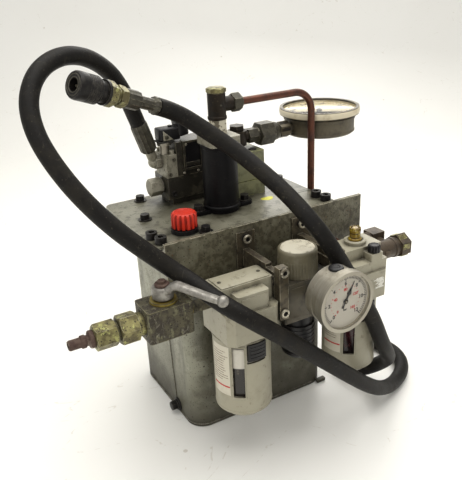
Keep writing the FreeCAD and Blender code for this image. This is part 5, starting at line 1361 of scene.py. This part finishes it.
# ---------------------------------------------------------------- valve stack
class UNIT_OT_valve(bpy.types.Operator):
    """Adds the plug, screws, cover face, connector and port rings of the valve stack"""
    bl_idname = "power_unit.valve"
    bl_label = "Valve stack"

    def execute(self, context):
        self.plug()
        self.cover()
        self.ports()
        self.connector()
        self.manifold()
        return {"FINISHED"}

    def plug(self):
        low, high = node_box("manifold_plug")
        middle = (low + high) / 2
        plug = piece("stack_plug", *joined(nut(19.5, 1.2, 17.5, segments=72),
                                           lathe([(0, 0), (9.2, 0), (9.2, 1.6), (0, 1.6)], 0.3,
                                                 64)), "head block", matrix=stood((
            high.x, middle.y, middle.z), (-1, 0, 0), 15), slot="zinc_steel")
        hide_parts("manifold_plug")

    def cover(self):
        low, high = node_box("solenoid_cover")
        face = block((low.x + 2.4, low.y + 2.2, low.z + 2.4), (high.x - 2.4, low.y + 3.4,
                                                              high.z - 2.4), 0.2, 1)
        piece("cover_face", *face, "black plastic")
        ridge = block((low.x + 3.5, low.y + 1.6, low.z + 4), (high.x - 3.5, low.y + 2.6,
                                                             low.z + 9), 0.4)
        piece("cover_ridge", *ridge, "dark block")
        heads = []
        for x, z in ((low.x + 4, high.z - 4.5), (high.x - 4, high.z - 4.5),
                     (low.x + 1.0, low.z - 4),
                     (high.x - 6, low.z - 4)):
            y = low.y + 1.4 if z > low.z else node_box("valve_body")[0].y
            heads.append((*lathe([(0, 0), (1.7, 0), (1.7, 1.0), (1.2, 1.4), (0, 1.4)], 0.2, 24),
                          stood((x, y, z), (0, -1, 0))))
        piece("cover_screws", *joined(*heads), "bright steel")

    def ports(self):
        low = node_box("port_block")[0]
        ports = [stood((low.x, low.y + across, low.z + up), (-1, 0, 0))
                 for across, up in ((8, 9), (20, 13))]
        ring = lathe([(1.5, -0.1), (1.6, 0.3), (2.5, 0.3), (2.6, -0.1)], 0.1, 28)
        piece("port_rings", *joined(*[(*ring, at) for at in ports]), "head block")
        # Painted shade: flat dark discs stand for the shaded insides of the two port holes.
        dark = turned([(0, 0.02), (1.5, 0.02), (1.5, -0.2)], 24)
        piece("port_hole_shade", *joined(*[(*dark, at) for at in ports]), "seal")
        screw = lathe([(0, 0), (2.2, 0), (2.2, 1.2), (1.2, 1.4), (1.1, 0.7), (0, 0.7)], 0.2, 28)
        screws = [(*screw, stood((low.x + along, low.y, z), (0, -1, 0)))
                  for along, z in ((4, 294), (10, 312))]
        piece("port_screws", *joined(*screws), "grey steel")

    def connector(self):
        low, high = node_box("coil_connector")
        centre = (low + high) / 2
        button = node_box("override_button")[1]
        left, foot = button.x + 6, low.z + 3
        lean = (Matrix.Translation((left, 0, foot)) @ Matrix.Rotation(math.radians(-8), 4, "Y")
                @ Matrix.Translation((-left, 0, -foot)))
        base = block((low.x + 1, low.y + 0.4, low.z + 0.2), (high.x + 3, high.y, high.z - 0.3),
                     2.2, 3)
        hood = block((left, low.y - 1, foot), (left + 13, high.y + 1, foot + 22), 2.6, 3)
        body = piece("connector_hood", *joined(base, (*hood, lean)), "black plastic")
        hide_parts("coil_connector")
        face = plate([(0, 0), (13, 0), (0, 12)], 0, 1.0, 0.2)
        corner = Vector((low.x + 5, low.y + 0.5, low.z + 1.6))
        piece("connector_plate", *face, "head block",
              matrix=Matrix.Translation(corner) @ Matrix.Rotation(math.radians(90), 4, "X"))
        gland = lathe([(0, 0), (6.5, 0), (6.5, 7), (5.2, 9), (4.2, 9.4), (0, 9.4)], 0.5, 40)
        piece("connector_gland", *gland, "black plastic",
              matrix=lean @ stood((left + 12.5, centre.y, foot + 9), (1, 0, 0.1)))
        screw = lathe([(0, 0), (2.4, 0), (2.4, 1.6), (1.9, 2.0), (0, 2.0)], 0.2, 32)
        piece("connector_screw", *screw, "grey steel",
              matrix=stood(corner + Vector((4.0, -0.2, 4.0)), (0, -1, 0)))
        piece("connector_gasket", *block((low.x - 0.4, low.y - 0.4, low.z - 1.4),
                                         (high.x - 6, high.y + 0.4, low.z + 0.4), 0.4), "seal")

    def manifold(self):
        low, high = node_box("valve_manifold")
        bolts = []
        for x, z in ((low.x + 7, 269), (high.x - 7, 283)):
            bolts.append((*lathe([(0, 0), (3.4, 0), (3.4, 1.6), (2.4, 1.9), (1.9, 1.0), (0, 1.0)],
                                 0.2, 32), stood((x, low.y, z), (0, -1, 0))))
        piece("manifold_screws", *joined(*bolts), "black steel")


# ---------------------------------------------------------------- air preparation row
BOWL_RADIUS = 32.0
WINDOW_WIDTH = 13.0
WINDOW_LOW = 91.5
WINDOW_HIGH = 155.1


def bowl_angles():
    """Directions in which the bowl guards' windows look, in degrees from +X."""
    return -128.0, 52.0


def band_on_bowl(low, high, start, sweep, steps, inner=31.6, outer=32.5):
    """A strip that lies on a bowl guard, between two heights."""
    return turned([(inner, low), (outer, low), (outer, high), (inner, high), (inner, low)], steps,
                  start=start, sweep=sweep)


class UNIT_OT_bowls(bpy.types.Operator):
    """Puts the clear bowls, labels, ribs and lock faces on the filter and the lubricator"""
    bl_idname = "power_unit.bowls"
    bl_label = "Bowls"

    def execute(self, context):
        grips = context.scene.power_unit.grips
        for name, x, look in (("filter", FILTER_X, "clear bowl"),
                              ("lubricator", LUBRICATOR_X, "oily bowl")):
            body = name + "_bowl_body"
            at = Matrix.Translation((x, AIR_Y, 0))
            rim = SKIRT_LOW - 0.3
            inner = lathe([(0, BOWL_FLOOR + 3.2), (20, BOWL_FLOOR + 3.2), (27.6, BOWL_FLOOR + 11),
                           (28.8, BOWL_FLOOR + 14), (28.8, rim - 12.7), (28.0, rim - 10.7)], 1.0,
                          96)
            piece(name + "_inner_bowl", *inner, look, body, matrix=at)
            frames = []
            for angle in bowl_angles():
                half = math.degrees(WINDOW_WIDTH / 2 / BOWL_RADIUS)
                for z in (WINDOW_LOW - 0.8, WINDOW_HIGH + 0.8):
                    frames.append(band_on_bowl(
                        z - 0.8, z + 0.8, angle - half - 2, 2 * half + 4, 12))
                for side in (-1, 1):
                    edge = angle + side * (half + 0.9)
                    frames.append(band_on_bowl(
                        WINDOW_LOW - 1.4, WINDOW_HIGH + 1.4, edge - 0.9, 1.8, 3))
            piece(name + "_window_frame", *joined(*frames), "cream", body, matrix=at)
            rings = joined(lathe([(31.7, rim - 3.6), (32.7, rim - 3.1), (32.7, rim - 1.1),
                                  (31.7, rim - 0.5)], 0.4, 96), lathe([
                (30.4, BOWL_FLOOR + 6.2), (31.9, BOWL_FLOOR + 8.6), (32.5, BOWL_FLOOR + 10.4),
                (31.8, BOWL_FLOOR + 11.6)], 0.4, 96))
            piece(name + "_guard_bands", *rings, "cream", body, matrix=at)
            if grips.show_labels:
                self.label(name, body, at)
            self.lock(name, x)
        self.heads()
        return {"FINISHED"}

    def label(self, name, body, at):
        start = bowl_angles()[0] - 62
        film = band_on_bowl(92.5, 154.5, start, 44, 24, 32.05, 32.2)
        piece(name + "_label", *film, "label", body, matrix=at)
        rows = []
        rng = random.Random(name)
        for i in range(13):
            z = 147 - i * 3.0
            rows.append(band_on_bowl(z, z + 0.9, start + 3, rng.uniform(22, 38), 14, 32.22, 32.3))
        piece(name + "_label_rows", *joined(*rows), "label ink", body, matrix=at)
        stripe = band_on_bowl(102.6, 104.4, start + 1, 42, 20, 32.22, 32.34)
        piece(name + "_label_stripe", *stripe, "red ink", body, matrix=at, slot="cream_alloy")

    def lock(self, name, x):
        low = node_box(name + "_lock")[0]
        ridges = []
        for i in range(4):
            z = low.z + 3.5 + i * 4.3
            ridges.append(rod_along([(x - 9.0, low.y + 1.3, z), (x - 3, low.y + 0.25, z),
                                     (x + 3, low.y + 0.25, z), (x + 9.0, low.y + 1.3, z)],
                                    0.8, 10))
        piece(name + "_lock_ridges", *joined(*ridges), "black plastic", name + "_lock_body")

    def heads(self):
        low, high = node_box("filter_body")
        top = high.z
        lid = block((low.x + 3, AIR_Y - 14.5, top - 0.4), (high.x - 3, AIR_Y + 14.5, top + 1.1),
                    0.5)
        piece("filter_top_plate", *lid, "cream")
        arrow = plate([(-9, -1.2), (3, -1.2), (3, -3.2), (9, 0), (3, 3.2), (3, 1.2), (-9, 1.2)],
                      top + 1.0, top + 1.4, 0.08)
        piece("filter_flow_arrow", *arrow, "cream", matrix=Matrix.Translation((
            FILTER_X, AIR_Y, 0)))
        dots = []
        for sx in (-1, 1):
            dots.append((*lathe([(0, 0), (2.0, 0), (2.0, 0.7), (1.4, 1.0), (0, 1.0)], 0.2, 24),
                         stood((FILTER_X + sx * 24, AIR_Y, top + 1.0))))
        piece("filter_top_screws", *joined(*dots), "grey steel")
        collars = []
        for x in (FILTER_X, LUBRICATOR_X):
            collars.append((*lathe([(27.7, SKIRT_LOW - 0.2), (30.6, SKIRT_LOW - 0.2),
                                    (31.4, SKIRT_LOW + 0.6), (31.4, SKIRT_LOW + 3.4)], 0.4, 96),
                            Matrix.Translation((x, AIR_Y, 0))))
        piece("skirt_collars", *joined(*collars), "cream")
        front = low.y
        heads = []
        middles = [(FILTER_X + REGULATOR_X) / 2, (REGULATOR_X + LUBRICATOR_X) / 2]
        plate_screw, module_face = (-91.5, 37), AIR_Y - 31.4
        ring = lathe([(2.8, -0.1), (2.8, 0.3), (4.4, 0.5), (5.15, 0.1), (5.3, -1.9), (5.0, -1.9)],
                     0.2, 48)
        for x in middles:
            for y, z in (plate_screw, (module_face, 24), (module_face, -24)):
                heads.append((*ring, stood((x, y, AIR_Z + z), (0, -1, 0))))
        piece("bracket_screw_heads", *joined(*heads), "bright steel")
        tag = block((FILTER_X - 15, front + 2.6, 199), (FILTER_X + 15, front + 3.2, 213), 0.15, 1)
        piece("filter_front_panel", *tag, "cream")


class UNIT_OT_regulator(bpy.types.Operator):
    """Makes the regulator knob, its top disc, the rings and the ribbed tail"""
    bl_idname = "power_unit.regulator"
    bl_label = "Regulator"

    def execute(self, context):
        low, high = node_box("regulator_knob")
        at = Matrix.Translation((REGULATOR_X, AIR_Y, 0))

        def ripple(angle, radius, height):
            if radius < 20 or height > low.z + 20:
                return radius
            return radius - 0.5 * (0.5 + 0.5 * math.cos(angle * 36)) ** 3

        base, top = low.z, high.z
        knob = lathe([(18.9, base), (22.0, base), (22.5, base + 0.8), (22.5, base + 19),
                      (22.0, base + 20), (22.0, top - 3.4), (21.2, top - 1.4), (19.4, top - 0.7),
                      (18.9, top - 3.4), (0, top - 3.4)], 0.5, 180, ripple)
        turning = piece("regulator_grip", *knob, "knob cream", "knob_body", matrix=at)
        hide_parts("regulator_knob")
        disc = lathe([(0, top - 0.1), (17.0, top - 0.1), (18.8, top - 0.6), (19.3, top - 1.6),
                      (19.3, top - 3.0)], 0.6, 96)
        piece("regulator_top_disc", *disc, "knob top", "knob_body", matrix=at)
        low, high = node_box("regulator_tail")
        ribs = []
        for i in range(7):
            z = low.z + 8 + i * 5
            ribs.append(lathe([(18.9, z), (19.6, z + 0.4), (19.6, z + 1.6), (18.9, z + 2)], 0.2,
                              72))
        piece("regulator_tail_ribs", *joined(*ribs), "black plastic", matrix=at)
        low, high = node_box("regulator_body")
        collar = lathe([(18.6, high.z - 18), (22.4, high.z - 18), (22.4, high.z - 16.8),
                        (18.7, high.z - 16.6)], 0.2, 96)
        front = block((low.x + 4, low.y - 0.7, low.z + 5), (high.x - 4, low.y + 0.4,
                                                           high.z - 23), 0.5)
        piece("regulator_front_plate", *front, "regulator")
        piece("regulator_collar", *collar, "regulator", matrix=at)
        return {"FINISHED"}


class UNIT_OT_lubricator(bpy.types.Operator):
    """Makes the fluted feed knob, the sight glass crown and the badge"""
    bl_idname = "power_unit.lubricator"
    bl_label = "Lubricator"

    def execute(self, context):
        flutes = context.scene.power_unit.grips.knob_flutes
        low, high = node_box("feed_knob")
        centre = (low + high) / 2

        def ripple(angle, radius, height):
            if radius < 5.6:
                return radius
            return radius - 0.9 * (0.5 + 0.5 * math.cos(angle * flutes)) ** 2

        knob = lathe([(0, low.z), (6.9, low.z), (7.25, low.z + 0.6), (7.25, high.z - 1.6),
                      (6.4, high.z - 0.4), (5.0, high.z - 0.05), (3.4, high.z - 0.6),
                      (0, high.z - 0.7)], 0.4, 144, ripple)
        turning = piece("fluted_feed_knob", *knob, "black plastic", "feed_body",
                        matrix=Matrix.Translation((centre.x, centre.y, 0)))
        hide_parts("feed_knob")
        low, high = node_box("sight_dome")
        centre = (low + high) / 2
        at = Matrix.Translation((centre.x, centre.y, 0))
        crown = lathe([(7.6, low.z), (8.0, low.z + 1.4), (7.0, low.z + 2.6), (6.4, low.z + 2.8)],
                      0.3, 72)
        teeth = []
        for i in range(16):
            angle = 360 * i / 16
            tooth = block((5.0, -0.55, high.z - 4.0), (6.6, 0.55, high.z + 0.2), 0.2, 1)
            teeth.append((*tooth, Matrix.Rotation(math.radians(angle), 4, "Z")))
        piece("sight_crown", *joined(crown, *teeth), "yellow sight", matrix=at)
        ring = lathe([(8.2, low.z - 0.2), (9.4, low.z + 0.9), (11.2, low.z + 0.9),
                      (12.4, low.z - 0.1), (12.7, low.z - 1.2)], 0.4, 96)
        piece("sight_ring", *ring, "cream", matrix=at)
        front = node_box("lubricator_body")[0].y
        panel = block((LUBRICATOR_X - 2, front - 0.25, 174), (LUBRICATOR_X + 23, front + 0.2, 187),
                      0.1, 1)
        piece("lubricator_panel", *panel, "badge")
        return {"FINISHED"}


# Middle of the valve's stem along the line, and the height of the lever's foot.
VALVE_STEM = (-145.5, 225.4)


class UNIT_OT_inlet(bpy.types.Operator):
    """Makes the bent lever, its nut, the brass ring and the inlet flange of the ball valve"""
    bl_idname = "power_unit.inlet"
    bl_label = "Ball valve"

    def execute(self, context):
        x, base = VALVE_STEM
        hub = Matrix.Translation((x, AIR_Y, base))
        turn = hub @ Matrix.Rotation(math.radians(-58), 4, "Z")
        bend = [(6, 0, 9.6), (9, 0, 11.4), (12.5, 0, 14.6), (16, 0, 16.8), (20, 0, 17.0),
                (26, 0, 16.0), (38, 0, 14.2), (50, 0, 12.4), (62, 0, 10.9), (66, 0, 10.6)]
        verts, faces = [], []
        sides = 20
        for i, (px, py, pz) in enumerate(bend):
            t = i / (len(bend) - 1)
            half_width = 8.2 - 2.6 * min(1, t * 2.2)
            half_width = max(4.3, half_width - 1.2 * t)
            half_thick = 4.3 - 1.1 * t
            nxt = Vector(bend[min(i + 1, len(bend) - 1)])
            prv = Vector(bend[max(i - 1, 0)])
            way = (nxt - prv).normalized()
            up = Vector((0, 1, 0)).cross(way) * -1
            for k in range(sides):
                angle = 2 * math.pi * k / sides
                c, s = math.cos(angle), math.sin(angle)
                squared = 1 / (abs(c) ** 3.2 + abs(s) ** 3.2) ** (1 / 3.2)
                offset = Vector((0, 1,
                                 0)) * c * half_width * squared + up * s * half_thick * squared
                verts.append(tuple(Vector((px, py, pz)) + offset))
        for i in range(len(bend) - 1):
            for k in range(sides):
                j = (k + 1) % sides
                faces.append([i * sides + k, i * sides + j, (i + 1) * sides + j,
                              (i + 1) * sides + k])
        faces.append(list(range(sides))[::-1])
        faces.append([(len(bend) - 1) * sides + k for k in range(sides)])
        boss = lathe([(0, 0.2), (9.6, 0.2), (10.8, 1.4), (11.0, 7), (10.6, 12.6), (9.4, 13.9),
                      (0, 13.9)], 1.2, 72)
        knob = turned([(5.9 * math.sin(math.pi * k / 16), -5.9 * math.cos(math.pi * k / 16))
                       for k in range(17)], 40)
        lever = piece("bent_lever", *joined((verts, faces), boss,
                                            (*knob, Matrix.Translation((68, 0, 10.5)))),
                      "cast zinc", "lever_body", matrix=turn, smooth=50)
        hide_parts("valve_lever")
        cap = joined(lathe([(0, 13.8), (7.6, 13.8), (7.6, 16.0), (6.6, 16.8), (0, 16.8)], 0.4, 60),
                     nut(8, 16.6, 19.6))
        piece("lever_cap", *cap, "rust", "lever_body", matrix=turn, slot="cast_alloy")
        stem = turned([(0, -9), (4, -9), (4, 1), (0, 1)], 36)
        piece("lever_stem", *stem, "brass", "lever_body", matrix=turn, slot="cast_alloy")
        top = 222.1
        ring = lathe([(5, top - 0.1), (14.2, top - 0.1), (14.4, top + 0.8), (13.8, top + 3.02),
                      (5, top + 3.02)], 0.4, 80)
        piece("seat_ring", *ring, "brass", matrix=Matrix.Translation((x, AIR_Y, 0)))
        sleeve = lathe([(6.7, -121), (8.6, -121), (8.6, -117.5), (6.7, -117.2)], 0.3, 48)
        piece("nipple_collar", *sleeve, "brass", matrix=stood((0, AIR_Y, AIR_Z), (1, 0, 0)))
        flange = lathe([(12, -170.4), (15.6, -170.4), (15.6, -168.6), (12, -168.6)], 0.4, 64)
        piece("valve_inlet_flange", *flange, "valve cube",
              matrix=stood((0, AIR_Y, AIR_Z), (1, 0, 0)))
        return {"FINISHED"}


class UNIT_OT_outlet(bpy.types.Operator):
    """Adds the end plug, ribs and nut of the outlet tee"""
    bl_idname = "power_unit.outlet"
    bl_label = "Outlet"

    def execute(self, context):
        low, high = node_box("outlet_tee")
        start, plug = low.x, high.x - 14
        z = AIR_Z - 4
        at = stood((0, AIR_Y, z), (1, 0, 0), 12)
        ribs = joined(lathe([(11.4, start + 2), (12.6, start + 2.6), (12.6, start + 6.5),
                             (11.4, start + 7.2)], 0.3, 72), lathe([
            (11.4, plug - 8), (12.4, plug - 7.4), (12.4, plug - 4.4
            ), (11.4, plug - 3.8)], 0.3, 72))
        piece("outlet_ribs", *ribs, "brown fitting", matrix=at)
        tab = block((start + 12, AIR_Y - 12.4, z - 3), (start + 21, AIR_Y - 11.0, z + 3), 0.5)
        piece("outlet_tab", *tab, "brown fitting")
        end = joined(nut(26, plug + 0.2, plug + 12.2),
                     lathe([(0, plug + 12), (10.8, plug + 12), (10.8, plug + 13.8),
                            (10.2, plug + 14), (0, plug + 14)], 0.3, 60))
        piece("outlet_plug", *end, "zinc", matrix=at)
        return {"FINISHED"}


# ---------------------------------------------------------------- panel and registration
BUILD_ORDER = ("finishes", "stage", "hose", "tank", "filler", "nuts", "pump", "gauges", "valve",
               "bowls", "regulator", "lubricator", "inlet", "outlet")


class UNIT_PT_panel(bpy.types.Panel):
    """Lists the pieces of the power unit and the sizes that can be changed"""
    bl_idname = "UNIT_PT_panel"
    bl_label = "Power unit"
    bl_space_type = "VIEW_3D"
    bl_region_type = "UI"
    bl_category = "Power unit"

    def draw(self, context):
        settings = context.scene.power_unit
        for title in ("stage", "paint", "hose", "dials", "grips"):
            box = self.layout.box()
            box.label(text=title.capitalize())
            group = getattr(settings, title)
            for prop in group.bl_rna.properties:
                if prop.identifier not in ("rna_type", "name"):
                    box.prop(group, prop.identifier)
        for step in BUILD_ORDER:
            self.layout.operator("power_unit." + step)


CLASSES = (
    StageSettings, PaintSettings, HoseSettings, DialSettings, GripSettings, UnitSettings,
    UNIT_OT_finishes, UNIT_OT_stage, UNIT_OT_hose, UNIT_OT_tank, UNIT_OT_filler, UNIT_OT_nuts,
    UNIT_OT_pump, UNIT_OT_gauges, UNIT_OT_valve, UNIT_OT_bowls, UNIT_OT_regulator,
    UNIT_OT_lubricator, UNIT_OT_inlet, UNIT_OT_outlet, UNIT_PT_panel,
)


def register():
    for cls in CLASSES:
        bpy.utils.register_class(cls)
    bpy.types.Scene.power_unit = PointerProperty(type=UnitSettings)


def unregister():
    del bpy.types.Scene.power_unit
    for cls in reversed(CLASSES):
        bpy.utils.unregister_class(cls)


def main():
    """Registers the add-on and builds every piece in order."""
    register()
    for step in BUILD_ORDER:
        getattr(bpy.ops.power_unit, step)()


if __name__ == "__main__":
    main()
